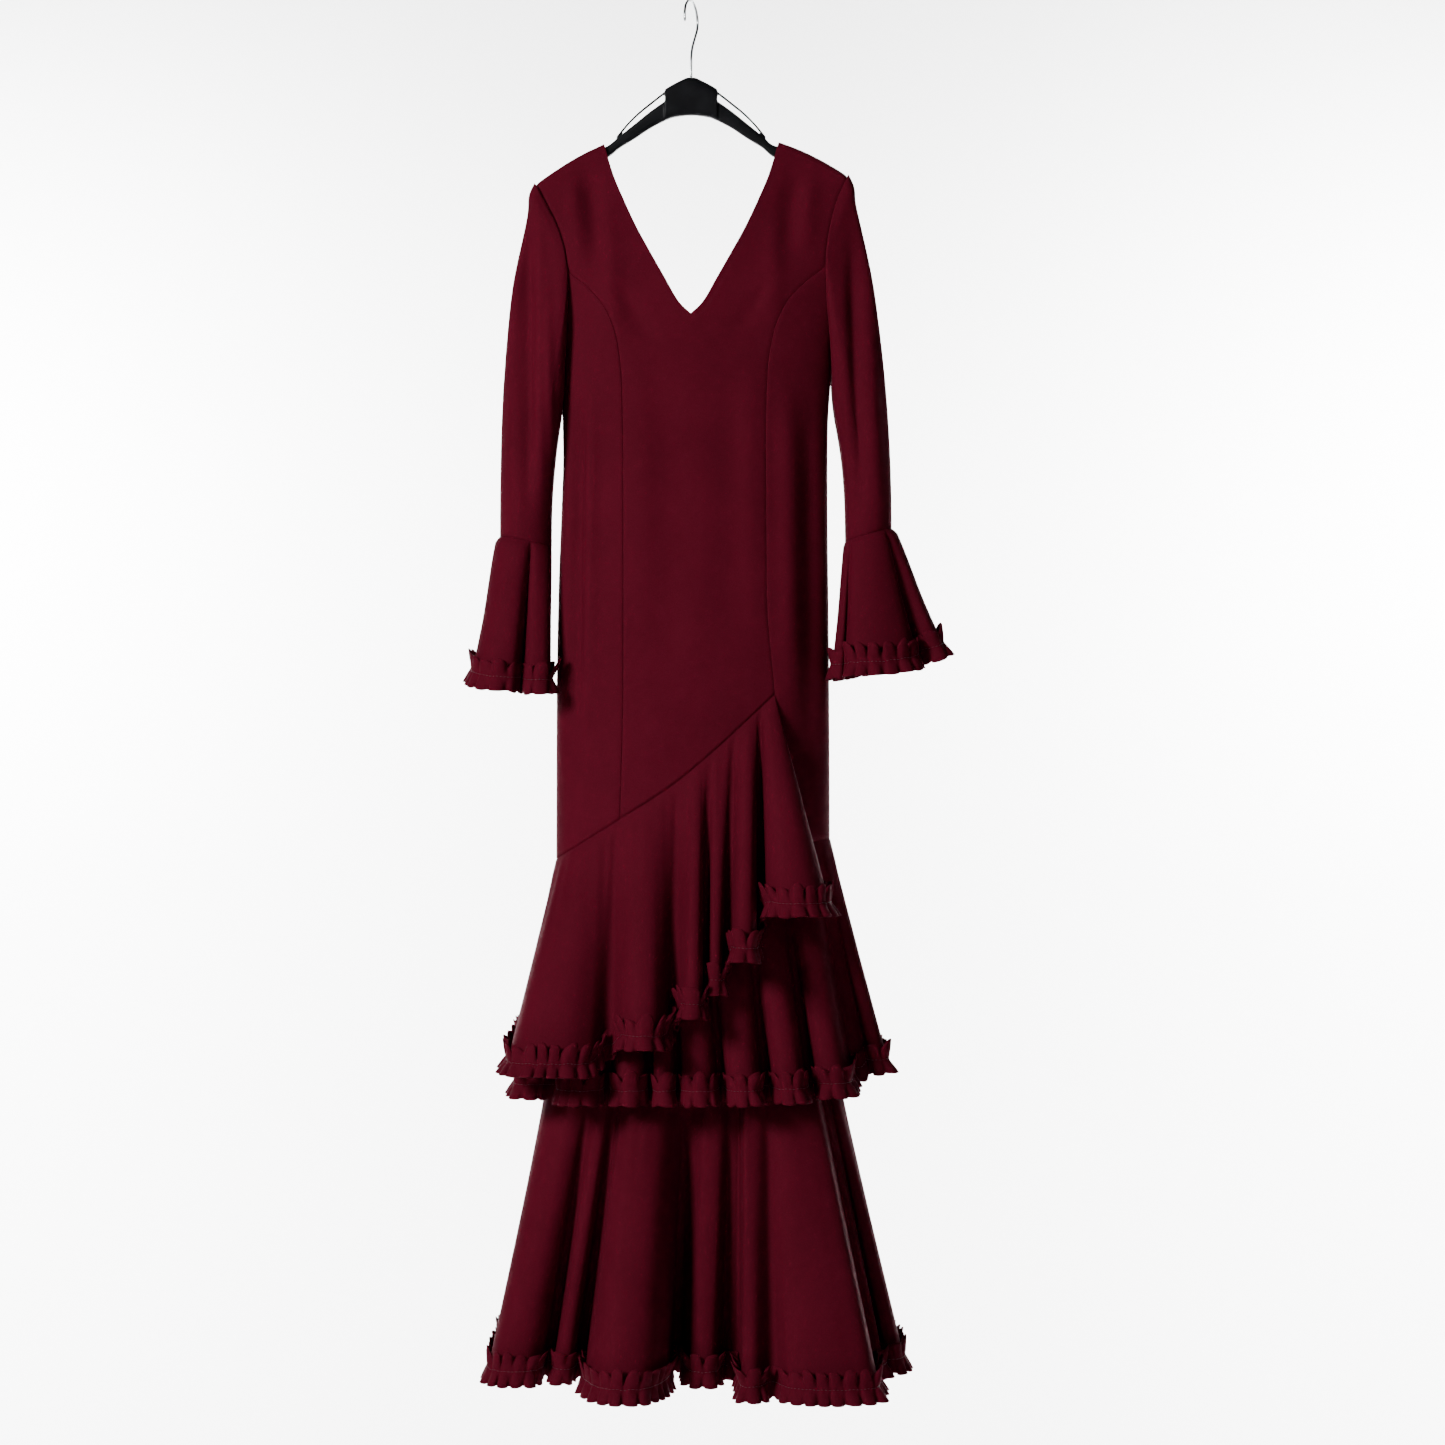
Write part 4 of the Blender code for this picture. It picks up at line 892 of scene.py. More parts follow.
@dataclass(frozen=True)
class Flounce:
    """A flounce that falls in straight runs from its seam to a folded hem.

    Args:
        name: number of the tier, as a word.
        body: the form that it is sewn to.
        seam_line: height of its seam at an x.
        closed: whether it goes all the way round.
        deepen: how much deeper its hollows are than the table's.
    """

    name: str
    body: Body
    seam_line: HeightLine
    closed: bool
    deepen: float

    lobe_angles = (-62, -22, 22, 62)
    lobe_fullness = 0.75
    valley_width = 8.0
    valley_seam = 2.0
    column_step = 3.6
    gather_pitch = 17.0
    gather_height = 0.55
    levels = 30
    level_power = 1.25
    samples = 6000
    tuck_depth = 1.3
    tuck_height = 2.5
    top_inset = 0.8
    gather_fade = 25.0

    def fold_rows(self, fold: Fold) -> list[Row]:
        """Four points round a fold: x on the seam, then the hem's point."""
        middle = (fold.left + fold.right) / 2
        half = (fold.right - fold.left) / 2
        rise = fold.crest - fold.dip
        rows = []
        for degrees in self.lobe_angles:
            turn = math.radians(degrees)
            out = math.cos(turn) ** self.lobe_fullness
            share = 0.5 + 0.5 * math.sin(turn)
            seam = fold.seam_left + (fold.seam_right - fold.seam_left) * share
            rows.append((seam, middle + half * math.sin(turn), fold.dip + rise * out, fold.z))
        return rows

    def valley_rows(self, fold: Fold, following: Fold) -> list[Row]:
        """Two points that round off the hollow between folds."""
        seam = (fold.seam_right + following.seam_left) / 2
        x = (fold.right + following.left) / 2
        y = (fold.dip + following.dip) / 2 + self.deepen
        z = (fold.z + following.z) / 2
        near = (seam - self.valley_seam / 2, x - self.valley_width / 2, y, z)
        return [near, (seam + self.valley_seam / 2, x + self.valley_width / 2, y, z)]

    def control(self, row: Row) -> Row:
        """Turns a row's x on the seam into an angle and a height."""
        seam, x, y, z = row
        height = float(self.seam_line(seam))
        return (float(self.body.angle_at(np.float64(seam), height)), x, y, z, height)

    def half(self, folds: Sequence[Fold], turned: bool) -> list[Row]:
        """Control rows of one side, from left to right, or back again when turned."""
        rows = []
        for number, fold in enumerate(folds):
            rows += self.fold_rows(fold)
            if number + 1 < len(folds):
                rows += self.valley_rows(fold, folds[number + 1])
        rows = [self.control(row) for row in rows]
        if turned:
            rows = [(math.pi - angle, x, -y, z, height) for angle, x, y, z, height in rows]
            rows.reverse()
        return rows

    def side_row(self, angle: float, side: SidePlace, seam_x: float) -> Row:
        """Control row where the hem passes a side."""
        return (angle, side.x, side.y, side.z, float(self.seam_line(seam_x)))

    def ring(
        self,
        folds: Sequence[Fold],
        right_fold: Fold,
        left: SidePlace,
        right: SidePlace,
    ) -> list[Row]:
        """Control rows of a flounce that goes all the way round, from the left side."""
        extra = self.valley_rows(folds[-1], right_fold) + self.fold_rows(right_fold)
        rows = [self.side_row(-QUARTER, left, LEFT_SIDE_X)]
        rows += self.half(folds, False)
        rows += [self.control(row) for row in extra]
        rows += [self.side_row(QUARTER, right, RIGHT_SIDE_X)]
        rows += self.half(folds, True)
        return rows + [self.side_row(3 * QUARTER, left, LEFT_SIDE_X)]

    def open_run(self, folds: Sequence[Fold], tuck: SidePlace, left: SidePlace) -> list[Row]:
        """Control rows of the slanted flounce, from its end at the back to its end in front."""
        end_x = folds[-1].seam_right
        height = float(self.seam_line(end_x))
        angle = float(self.body.angle_at(np.float64(end_x), height))
        back = [(-math.pi - angle, tuck.x, -tuck.y, tuck.z, height)]
        back += [(a - 2 * math.pi, x, y, z, h) for a, x, y, z, h in self.half(folds, True)]
        front = self.half(folds, False) + [(angle, tuck.x, tuck.y, tuck.z, height)]
        return back + [self.side_row(-QUARTER, left, LEFT_SIDE_X)] + front

    def line(self, controls: Sequence[Row], step: float) -> HemLine:
        """Runs a smooth curve through the control rows.

        Args:
            controls: rows of angle, x, y, z and seam height.
            step: distance between columns on the hem.

        Returns:
            The columns.
        """
        table = np.array(controls, float)
        if self.closed:
            lap = np.zeros(table.shape[1])
            lap[0] = 2 * math.pi
            table = np.concatenate([table[-4:-1] - lap, table, table[1:4] + lap])
        knots = knots_of(table[:, 1:4])
        low, high = (knots[3], knots[-4]) if self.closed else (knots[0], knots[-1])
        places = even_places(knots, table, (low, high), self.samples, step)
        if self.closed:
            places = places[:-1]
        made = spline(knots, table, places)
        angle = eased(knots, table[:, 0], places)
        height = eased(knots, table[:, 4], places)
        return HemLine(angle, made[:, 1:4], height)

    def seam_points(self, line: HemLine) -> tuple[Array, Array]:
        """Points and outward directions along the seam."""
        z = line.height
        for _ in range(4):
            z = self.seam_line(self.body.point(line.angle, z)[:, 0])
        return self.body.point(line.angle, z), self.body.normal(line.angle, z)

    def surface(self, line: HemLine, levels: Array) -> Array:
        """Points of the flounce.

        Args:
            line: its columns.
            levels: shares of the way down, a row for each level and a column for each column.

        Returns:
            A grid of points.
        """
        top, _ = self.seam_points(line)
        return top[None] + (line.hem - top)[None] * levels[:, :, None]

    def gathers(self, line: HemLine, share: Array) -> Array:
        """Small gathers that start at the seam and die out on the way down."""
        top, _ = self.seam_points(line)
        along = arc_length(top)
        fade = end_fade(along, along[-1], self.gather_fade)
        phase = 2 * math.pi * along / self.gather_pitch + 2.0 * waver(along, 40, 4.4)
        size = self.gather_height * (0.75 + 0.6 * waver(along, 55, 8.8)) * fade
        down = smooth_step(0.01, 0.09, share) * smooth_step(0.62, 0.12, share)
        return down[:, None] * (size * np.sin(phase))[None]

    def sheet(self, controls: Sequence[Row], nodes: tuple[str, ...], above: str) -> Sheet:
        """The flounce's cloth, with its top edge tucked under the piece above."""
        line = self.line(controls, self.column_step)
        share = np.linspace(0, 1, self.levels + 1) ** self.level_power
        levels = np.broadcast_to(share[:, None], (len(share), len(line.angle)))
        points = self.surface(line, levels)
        top, normals = self.seam_points(line)
        points = points + normals[None] * self.gathers(line, share)[:, :, None]
        tucked = top - normals * self.tuck_depth + np.array([0, 0, self.tuck_height])
        points = np.concatenate([tucked[None], points])
        points[1] -= normals * self.top_inset
        return Sheet(f"flounce_{self.name}", points, nodes, Held.GATHERED, (above,), self.closed)


@dataclass(frozen=True)
class Ruffle:
    """The gathered strip over a flounce's hem, and its line of stitches.

    Args:
        name: the strip's name.
        cut: its sizes.
        closed: whether it goes all the way round.
        seed: picks its unevenness.
    """

    name: str
    cut: RuffleCut
    closed: bool
    seed: float

    end_fade = 30.0
    phase_drift = (1.9, 34)
    strength_drift = (0.75, 17)
    lean_drift = (2.6, 24)
    ragged_drift = (0.8, 11)
    strength_range = (0.45, 1.35)
    thread = 0.2
    thread_off = 0.62
    stitch_sides = 4
    profile = ((0.0, 0.0), (0.2, 0.16), (0.5, 0.22), (0.8, 0.16), (1.0, 0.0))

    def room(self, points: Array, normals: Array) -> Array:
        """Clear distance in front of each column, up to another fold of the same hem."""
        room = np.full(len(points), 99.0)
        for number in range(len(points)):
            ahead = points - points[number]
            along = ahead @ normals[number]
            aside = np.linalg.norm(ahead - along[:, None] * normals[number], axis=1)
            facing = (along > 1.0) & (aside < self.cut.reach)
            if facing.any():
                room[number] = along[facing].min()
        span = 4
        padded = np.concatenate([room[-span:], room, room[:span]])
        windows = [padded[step : step + len(room)] for step in range(2 * span + 1)]
        return np.min(windows, axis=0)

    def frame_of(self, points: Array) -> tuple[Array, Array]:
        """Outward and downward directions over a grid."""
        if self.closed:
            around = np.roll(points, -1, axis=1) - np.roll(points, 1, axis=1)
        else:
            around = np.gradient(points, axis=1)
        down = unit(np.gradient(points, axis=0))
        return unit(np.cross(down, around)), down

    def gathered(self, base: Array, shares: Array) -> Array:
        """Throws the strip into waves that grow from its stitched line to both edges.

        Args:
            base: grid of points on the flounce, rows from the strip's upper edge down.
            shares: how far each row is along the strip's width, from 0 to 1.

        Returns:
            The strip's points.
        """
        cut = self.cut
        outward, down = self.frame_of(base)
        middle = base[len(base) // 2]
        ring = np.concatenate([middle, middle[:1]]) if self.closed else middle
        along = arc_length(ring)
        total = along[-1]
        along = along[: len(middle)]
        count = max(1, round(total / cut.pitch))
        fade = end_fade(along, total, self.end_fade)

        def drift(size: float, reach: float, more: float = 0) -> Array:
            """Unevenness along the strip that dies out at its ends."""
            return size * fade * waver(along, reach, self.seed + more)

        phase = 2 * math.pi * count * along / total + drift(*self.phase_drift)
        strength = 1.0 + drift(*self.strength_drift, 7)
        room = self.room(middle, outward[len(base) // 2])
        free = np.clip((room - 2 * cut.stand - 2.6) / 2, cut.least, cut.wave)
        wave = free * np.clip(strength, *self.strength_range)
        seam_share = cut.seam_share()
        crest = 0.5 + 0.5 * np.sin(phase)
        loop = -cut.loop * np.sin(2 * phase) - cut.flare * np.cos(phase)
        lean = drift(*self.lean_drift, 19)
        ragged = 1 + drift(*self.ragged_drift, 31)
        ahead = unit(np.gradient(middle, axis=0))
        made = np.empty_like(base)
        for row, share in enumerate(shares):
            off = abs(share - seam_share) / (seam_share if share < seam_share else 1 - seam_share)
            grown = off**0.7
            size = wave * (grown if share < seam_share else 0.85 * grown)
            puckered = 0.35 * np.sin(2 * phase) * (1 - grown)
            out = cut.stand * (0.75 + 0.25 * grown) + size * crest + puckered
            if share < seam_share:
                shift = -cut.tip * grown * (crest - 0.65) * ragged * wave / cut.wave
            else:
                shift = cut.droop * grown * (crest - 0.5)
            aside = loop * grown * np.clip(wave / 5, 0, 1)
            aside = (aside + lean * grown * crest * wave / cut.wave)[:, None] * ahead
            made[row] = base[row] + outward[row] * out[:, None] + down[row] * shift[:, None] + aside
        return made

    def sheet(self, base: Array, nodes: tuple[str, ...], above: str) -> Sheet:
        """The strip's cloth."""
        points = self.gathered(base, self.cut.shares())
        return Sheet(self.name, points, nodes, Held.GATHERED, (above,), self.closed, 0.9)

    def stitches(self, strip: Array, finish: Finish) -> Piece:
        """Makes the row of stitches that holds the strip.

        Args:
            strip: the strip's points.
            finish: the thread's material.

        Returns:
            The piece.
        """
        cut = self.cut
        row = int(round(cut.seam_share() * (len(strip) - 1)))

        def around(line: Array) -> Array:
            """A row with its first point again at its end if the strip is closed."""
            return np.concatenate([line, line[:1]]) if self.closed else line

        outward, down = self.frame_of(strip)
        ring = around(strip[row] + outward[row] * self.thread_off)
        along = arc_length(ring)
        pitch = cut.stitch_length + cut.stitch_gap
        count = int(along[-1] / pitch)
        points = []
        faces = []
        stitch = rod_faces(len(self.profile), self.stitch_sides)
        for number in range(count):
            base = len(points)
            for share, rise in self.profile:
                at = number * pitch + cut.stitch_length * share
                centre, out, low = (
                    np.array([np.interp(at, along, line[:, axis]) for axis in range(3)])
                    for line in (ring, around(outward[row]), around(down[row]))
                )
                thick = self.thread + rise * 0.5
                for turn in range(self.stitch_sides):
                    angle = math.pi * turn / 2 + math.pi / 4
                    ray = out * (math.cos(angle) * thick + rise)
                    points.append(centre + ray + low * (math.sin(angle) * thick))
            faces += [tuple(base + index for index in face) for face in stitch]
        made = mesh_object(f"{self.name}_stitches", np.array(points), faces, finish, turn_out=True)
        place(made, Slot.CLOTH)
        return made


@dataclass(frozen=True)
class TierSpec:
    """Tables of one flounce of the skirt."""

    name: str
    folds: tuple[Fold, ...]
    left: SidePlace
    right: SidePlace
    right_fold: Fold | None
    above: str
    seed: float
    deepen: float = 0.0


@dataclass(frozen=True)
class SkirtTiers:
    """The three flounces with their ruffles, sewn to the body."""

    body: Body
    cut: RuffleCut

    one = TierSpec(
        "one",
        table_of(
            Fold, (-152, -104, -206, -108, -172, -1237, -130),
            (-72, -33, -76, -28, -172, -1206, -130), (-2, 15, -7, 15, -166, -1171, -126),
            (27, 42, 21, 36, -140, -1146, -122), (57, 76, 48, 76, -170, -1108, -116),
            (84, 97.2, 85, 162, -174, -1058, -100),
        ),
        SidePlace(-203.0, -2.0, -1228.0),
        SidePlace(148.0, -88.0, -1058.0),
        None,
        "front_centre_panel",
        3.1,
        8.0,
    )
    two = TierSpec(
        "two",
        table_of(
            Fold, (-158, -138, -202, -166, -96, -1270, -78),
            (-125, -92, -150, -102, -134, -1272, -106), (-80, -62, -88, -50, -136, -1272, -108),
            (-50, -28, -40, -18, -136, -1272, -110), (-18, 8, -9, 30, -137, -1272, -110),
            (20, 52, 44, 82, -136, -1272, -106), (66, 92, 96, 134, -132, -1270, -96),
            (108, 132, 145, 184, -116, -1266, -80),
        ),
        SidePlace(-196.0, 6.0, -1262.0),
        SidePlace(220.0, 12.0, -1248.0),
        Fold(148, 160, 205, 232, -42, -1248, -14),
        "skirt_front_panel",
        5.7,
        9.0,
    )
    three = TierSpec(
        "three",
        table_of(
            Fold, (-150, -112, -234, -171, -112, -1594, -68),
            (-96, -82, -158, -135, -100, -1594, -72), (-68, -20, -122, -24, -184, -1597, -72),
            (12, 50, -9, 40, -112, -1595, -14), (62, 80, 60, 78, -170, -1597, -157),
            (98, 132, 108, 214, -184, -1597, -157),
        ),
        SidePlace(-226.0, 10.0, -1592.0),
        SidePlace(241.0, 12.0, -1592.0),
        Fold(146, 157, 223, 250, -60, -1592, -20),
        "skirt_front_panel",
        9.3,
        11.0,
    )

    def build(self, cloth: Finish, thread: Finish) -> list[Piece]:
        """Makes the flounces, ruffles and stitches."""
        made = []
        lines = {"one": SeamLines.slant, "two": SeamLines.second, "three": SeamLines.third_seam}
        for spec in (self.one, self.two, self.three):
            closed = spec.right_fold is not None
            flounce = Flounce(spec.name, self.body, lines[spec.name], closed, spec.deepen)
            if closed:
                controls = flounce.ring(spec.folds, spec.right_fold, spec.left, spec.right)
            else:
                controls = flounce.open_run(spec.folds, spec.right, spec.left)
            nodes = (f"tier_{spec.name}_front", f"tier_{spec.name}_back")
            made.append(flounce.sheet(controls, nodes, spec.above).build(cloth))
            made += self.ruffle(spec, flounce, controls, cloth, thread)
        return made

    def ruffle(
        self,
        spec: TierSpec,
        flounce: Flounce,
        controls: Sequence[Row],
        cloth: Finish,
        thread: Finish,
    ) -> list[Piece]:
        """Makes the ruffle of one flounce and its stitches."""
        cut = self.cut
        line = flounce.line(controls, cut.step)
        top, _ = flounce.seam_points(line)
        length = np.linalg.norm(line.hem - top, axis=1)
        ruffle = Ruffle(f"ruffle_{spec.name}", cut, flounce.closed, spec.seed)
        base = flounce.surface(line, 1 + cut.below_hem()[:, None] / length[None])
        nodes = (f"trim_{spec.name}_front", f"trim_{spec.name}_back")
        sheet = ruffle.sheet(base, nodes, f"flounce_{spec.name}")
        return [sheet.build(cloth), ruffle.stitches(sheet.points, thread)]


@dataclass(frozen=True)
class CuffRing:
    """The slanted ring where a sleeve's flounce is sewn on."""

    side: int
    x: float
    y: float
    z: float
    slope: float
    wide: float
    deep: float
    lean: float

    def point(self, turn: Array) -> Array:
        """Points of the ring; turn 0 is its outer side and a quarter its front."""
        around = 2 * math.pi * np.asarray(turn)
        x = self.x + self.side * self.wide * np.cos(around)
        y = self.y - self.deep * np.sin(around)
        z = self.z + self.slope * (x - self.x)
        return np.stack([x, y, z], axis=-1)

    def normal(self, turn: Array) -> Array:
        """Outward directions there."""
        around = 2 * math.pi * np.asarray(turn)
        x = self.side * self.deep * np.cos(around)
        return unit(np.stack([x, -self.wide * np.sin(around), np.zeros_like(x)], axis=-1))


@dataclass(frozen=True)
class CuffRow:
    """A point of a sleeve flounce's hem, at its turn round the ring."""

    turn: float
    x: float
    y: float
    z: float


@dataclass(frozen=True)
class Sleeve:
    """A long sleeve with its flounce and ruffle.

    Args:
        word: left or right.
        ring: where its flounce is sewn on.
        hem: the flounce's hem.
        creases: folds pressed into the sleeve.
        bodice: the panels that it is sewn to.
        cut: the ruffle's cut.
        seed: picks the ruffle's unevenness.
    """

    word: str
    ring: CuffRing
    hem: Sequence[CuffRow]
    creases: Sequence[Crease]
    bodice: Bodice
    cut: RuffleCut
    seed: float

    lap = 1.9
    spread = 0.27
    tuck = 0.22
    puff = 0.10
    cap = 3.2
    cap_at = 0.035
    cap_reach = 0.03
    underarm_ease = 4.6
    underarm_z = -474.0
    underarm_reach = 46.0
    under_body = 0.8
    samples = 2000
    tuck_depth = 1.2
    tuck_height = 2.5
    level_power = 1.3
    lift = 4.2
    rows = 96
    easing = 12
    flounce_step = 3.4
    flounce_levels = 22

    def armhole(self) -> tuple[Array, Array]:
        """Points and normals of the armhole, from the shoulder down the front and up the back."""
        side = self.ring.side
        near = self.bodice.rows() <= self.bodice.meet_princess + 1e-9
        column = 0 if side < 0 else -1
        pairs = []
        for back in (False, True):
            upper = self.bodice.half_panel(side, back)[near, column]
            lower = self.bodice.underarm(side, back)[-2:0:-1]
            pairs.append((upper, lower))
        underarm = np.array([[side * QUARTER, self.bodice.left_underarm[0].z]])
        (front, front_low), (rear, rear_low) = pairs
        ring = np.concatenate([front, front_low, underarm, rear_low[::-1], rear[:0:-1]])
        body = self.bodice.body
        normals = body.normal(ring[:, 0], ring[:, 1])
        for _ in range(self.easing):
            beside = np.roll(normals, 1, axis=0) + np.roll(normals, -1, axis=0)
            normals = unit(normals + beside / 2)
        return body.point(ring[:, 0], ring[:, 1]), normals

    @staticmethod
    def turns(ring: Array) -> Array:
        """Share of the way round for each point; a half at the underarm."""
        steps = np.linalg.norm(np.diff(ring, axis=0, append=ring[:1]), axis=1)
        low = int(np.argmin(ring[:, 2]))
        along = np.concatenate([[0], np.cumsum(steps)])
        front = along[: low + 1] / along[low] / 2
        rear = 0.5 + (along[low + 1 : -1] - along[low]) / (along[-1] - along[low]) / 2
        return np.concatenate([front, rear])

    def tube(self) -> Array:
        """Points of the sleeve, ring by ring from the armhole to the cuff."""
        cuff = self.ring
        ring, normals = self.armhole()
        turns = self.turns(ring)
        start = ring + normals * self.lap
        end = cuff.point(turns)
        reach = np.linalg.norm(end - start, axis=1)
        tucked = (1 - np.cos(2 * math.pi * turns)) / 2
        ahead = np.maximum(np.sin(2 * math.pi * turns), 0)
        out = cuff.side * (self.spread - self.tuck * tucked) - cuff.lean * ahead * cuff.side
        forward = -self.puff * np.sin(2 * math.pi * turns) - cuff.lean * ahead
        leave = np.stack([out, forward, -np.ones(len(turns))], axis=-1) * reach[:, None]
        arrive = np.stack([0 * reach, 0 * reach, -reach], axis=-1)
        at = np.linspace(0, 1, self.rows + 1)[:, None, None]
        points = cubic(at, start, end, leave, arrive)
        around = np.roll(points, -1, axis=1) - np.roll(points, 1, axis=1)
        outward = unit(np.cross(np.gradient(points, axis=0), around))
        middle = points.mean(axis=1, keepdims=True)
        facing = np.sum((points - middle)[..., :2] * outward[..., :2])
        outward = outward if facing > 0 else -outward
        ends = smooth_step(0, 0.12, at[:, :, 0]) * smooth_step(1, 0.94, at[:, :, 0])
        out = self.creased(points, outward) * ends
        shoulder = np.clip(np.cos(2 * math.pi * turns), 0, 1)[None] ** 4
        near_cap = np.exp(-(((at[:, :, 0] - self.cap_at) / self.cap_reach) ** 2))
        out = out + self.cap * shoulder * near_cap
        level = np.exp(-(((points[..., 2] - self.underarm_z) / self.underarm_reach) ** 2))
        inner = np.clip(-np.cos(2 * math.pi * turns), 0, 1)[None] ** 2
        out = out + self.underarm_ease * inner * level
        points = points + outward * out[..., None]
        under = points[0] - normals * (self.lap + self.under_body)
        return np.concatenate([under[None], points])

    def creased(self, points: Array, outward: Array) -> Array:
        """How far the sleeve's folds push each point out, on the side that they are on."""
        out = sum(crease.push(points, 0.35, 0.65, 0.0) for crease in self.creases)
        return out * (0.35 + 0.65 * np.abs(outward[..., 1]))

    def hem_line(self, step: float) -> tuple[Array, Array]:
        """Turns and points round the flounce's hem.

        Args:
            step: distance between columns.

        Returns:
            The turn and the hem's point of each column.
        """
        table = np.array([(row.turn, row.x, row.y, row.z) for row in self.hem])
        lap = np.array([1.0, 0, 0, 0])
        padded = np.concatenate([table[-3:] - lap, table, table[:4] + lap])
        knots = knots_of(padded[:, 1:4])
        ends = (knots[3], knots[3 + len(table)])
        places = even_places(knots, padded, ends, self.samples, step)[:-1]
        return eased(knots, padded[:, 0], places), spline(knots, padded, places)[:, 1:4]

    def lifted(self, turn: Array, hem: Array, share: Array) -> Array:
        """How far the flounce's folds stand off the sleeve just below their seam."""
        flare = hem[:, :2] - self.ring.point(turn)[:, :2]
        flare = np.sum(flare * self.ring.normal(turn)[:, :2], axis=1)
        proud = np.clip(flare / np.percentile(flare, 80), -0.5, 1.0)
        rise = smooth_step(0.0, 0.035, share) * smooth_step(0.7, 0.05, share)
        return rise * (self.lift * proud)[None, :, None]

    def build(self, cloth: Finish, thread: Finish) -> list[Piece]:
        """Makes the sleeve, its flounce, ruffle and stitches."""
        tube = self.order(self.tube())
        name = f"sleeve_{self.word}"
        sleeve = Sheet(f"{name}_tube", tube, (name,), Held.HUNG, ("front_centre_panel",), True)
        turn, hem = self.hem_line(self.flounce_step)
        top = self.ring.point(turn)
        tucked = top - self.ring.normal(turn) * self.tuck_depth + np.array([0, 0, self.tuck_height])
        share = np.linspace(0, 1, self.flounce_levels + 1)[:, None, None] ** self.level_power
        points = top[None] + (hem - top)[None] * share
        points = points + self.ring.normal(turn)[None] * self.lifted(turn, hem, share)
        points = self.order(np.concatenate([tucked[None], points]))
        name = f"sleeve_flounce_{self.word}"
        flounce = Sheet(f"{name}_fall", points, (name,), Held.GATHERED, (sleeve.name,), True)
        turn, hem = self.hem_line(self.cut.step)
        top = self.ring.point(turn)
        length = np.linalg.norm(hem - top, axis=1)
        ruffle = Ruffle(f"sleeve_ruffle_{self.word}", self.cut, True, self.seed)
        down = 1 + self.cut.below_hem()[:, None] / length[None]
        base = top[None] + (hem - top)[None] * down[..., None]
        strip = ruffle.sheet(self.order(base), (f"sleeve_trim_{self.word}",), flounce.name)
        made = [sleeve.build(cloth), flounce.build(cloth), strip.build(cloth)]
        return made + [ruffle.stitches(strip.points, thread)]

    def order(self, points: Array) -> Array:
        """Turns the columns so that they run the way the skirt's do."""
        return points[:, ::-1] if self.ring.side > 0 else points


@dataclass(frozen=True)
class Sleeves:
    """Both sleeves, sewn to the bodice."""

    bodice: Bodice
    cut: RuffleCut

    left_ring = CuffRing(-1, -194, -12, -638, -0.2, 30, 27, 0.13)
    right_ring = CuffRing(1, 208.5, -10, -630, 0.29, 27, 27, 0.0)
    left_hem = table_of(
        CuffRow, (0.00, -256, -12, -790), (0.09, -252, -42, -797), (0.17, -230, -62, -802),
        (0.24, -208, -63, -803), (0.275, -201, -48, -803), (0.29, -198, -30, -803),
        (0.305, -194, -45, -804), (0.34, -187, -60, -806), (0.41, -169, -61, -806),
        (0.47, -163, -44, -804), (0.52, -176, -18, -803), (0.58, -177, 10, -802),
        (0.66, -188, 34, -801), (0.74, -204, 34, -800), (0.82, -221, 38, -797),
        (0.92, -246, 22, -792),
    )
    right_hem = table_of(
        CuffRow, (0.00, 296, -16, -760), (0.07, 290, -40, -766), (0.115, 272, -32, -770),
        (0.135, 263, -26, -773), (0.155, 264, -46, -776), (0.19, 255, -62, -780),
        (0.27, 222, -74, -785), (0.34, 190, -68, -786), (0.375, 181, -52, -787),
        (0.39, 179, -36, -787), (0.41, 174, -46, -788), (0.46, 165, -38, -788),
        (0.53, 176, -10, -789), (0.60, 190, 16, -787), (0.68, 208, 36, -783), (0.77, 230, 24, -777),
        (0.85, 252, 36, -771), (0.93, 280, 14, -763),
    )
    left_creases = table_of(
        Crease, (-193, -200, -190, -640, 9, -8.5), (-207, -230, -212, -600, 6, 3.0),
        (-178, -230, -174, -640, 7, 3.5), (-167, -300, -163, -620, 5, 3.0),
    )
    right_creases = table_of(
        Crease, (188, -240, 198, -640, 8, -6.5), (205, -240, 219, -640, 9, 5.0),
    )

    def build(self, cloth: Finish, thread: Finish) -> list[Piece]:
        """Makes both sleeves."""
        sewn = (self.bodice, self.cut)
        left = Sleeve("left", self.left_ring, self.left_hem, self.left_creases, *sewn, 13.2)
        right = Sleeve("right", self.right_ring, self.right_hem, self.right_creases, *sewn, 17.9)
        return left.build(cloth, thread) + right.build(cloth, thread)


@dataclass(frozen=True)
class HangerCut:
    """Outlines of the hanger's moulding in front view: x, top and bottom."""

    centre: tuple[tuple[float, float, float], ...] = (
        (-31, -103, -140), (-22, -97.5, -136.5), (-10, -91.5, -134.5), (-4, -89, -134),
        (4, -89, -134), (10, -91.5, -134.5), (22, -97.5, -136.5), (31, -103, -140),
    )
    arm: tuple[tuple[float, float, float], ...] = (
        (24, -112, -136.5), (48, -129, -149), (66, -143.5, -161), (84, -158, -172),
        (98, -169.5, -183),
    )
    under_cloth: tuple[float, ...] = (112, 126, 140, 154, 166)
    bar: tuple[tuple[float, float, float], ...] = (
        (26, -101.5, -104.5), (46, -117, -120.2), (62, -130, -133.2), (76, -144, -147.4),
        (88, -158.5, -163.5),
    )
    arm_gap: float = 3.0
    arm_height: float = 13.0
    centre_half: float = 7.0
    arm_half: float = 4.6
    bar_half: float = 2.2
    sides: int = 20
    squareness: float = 3.4
    voxel: float = 0.9


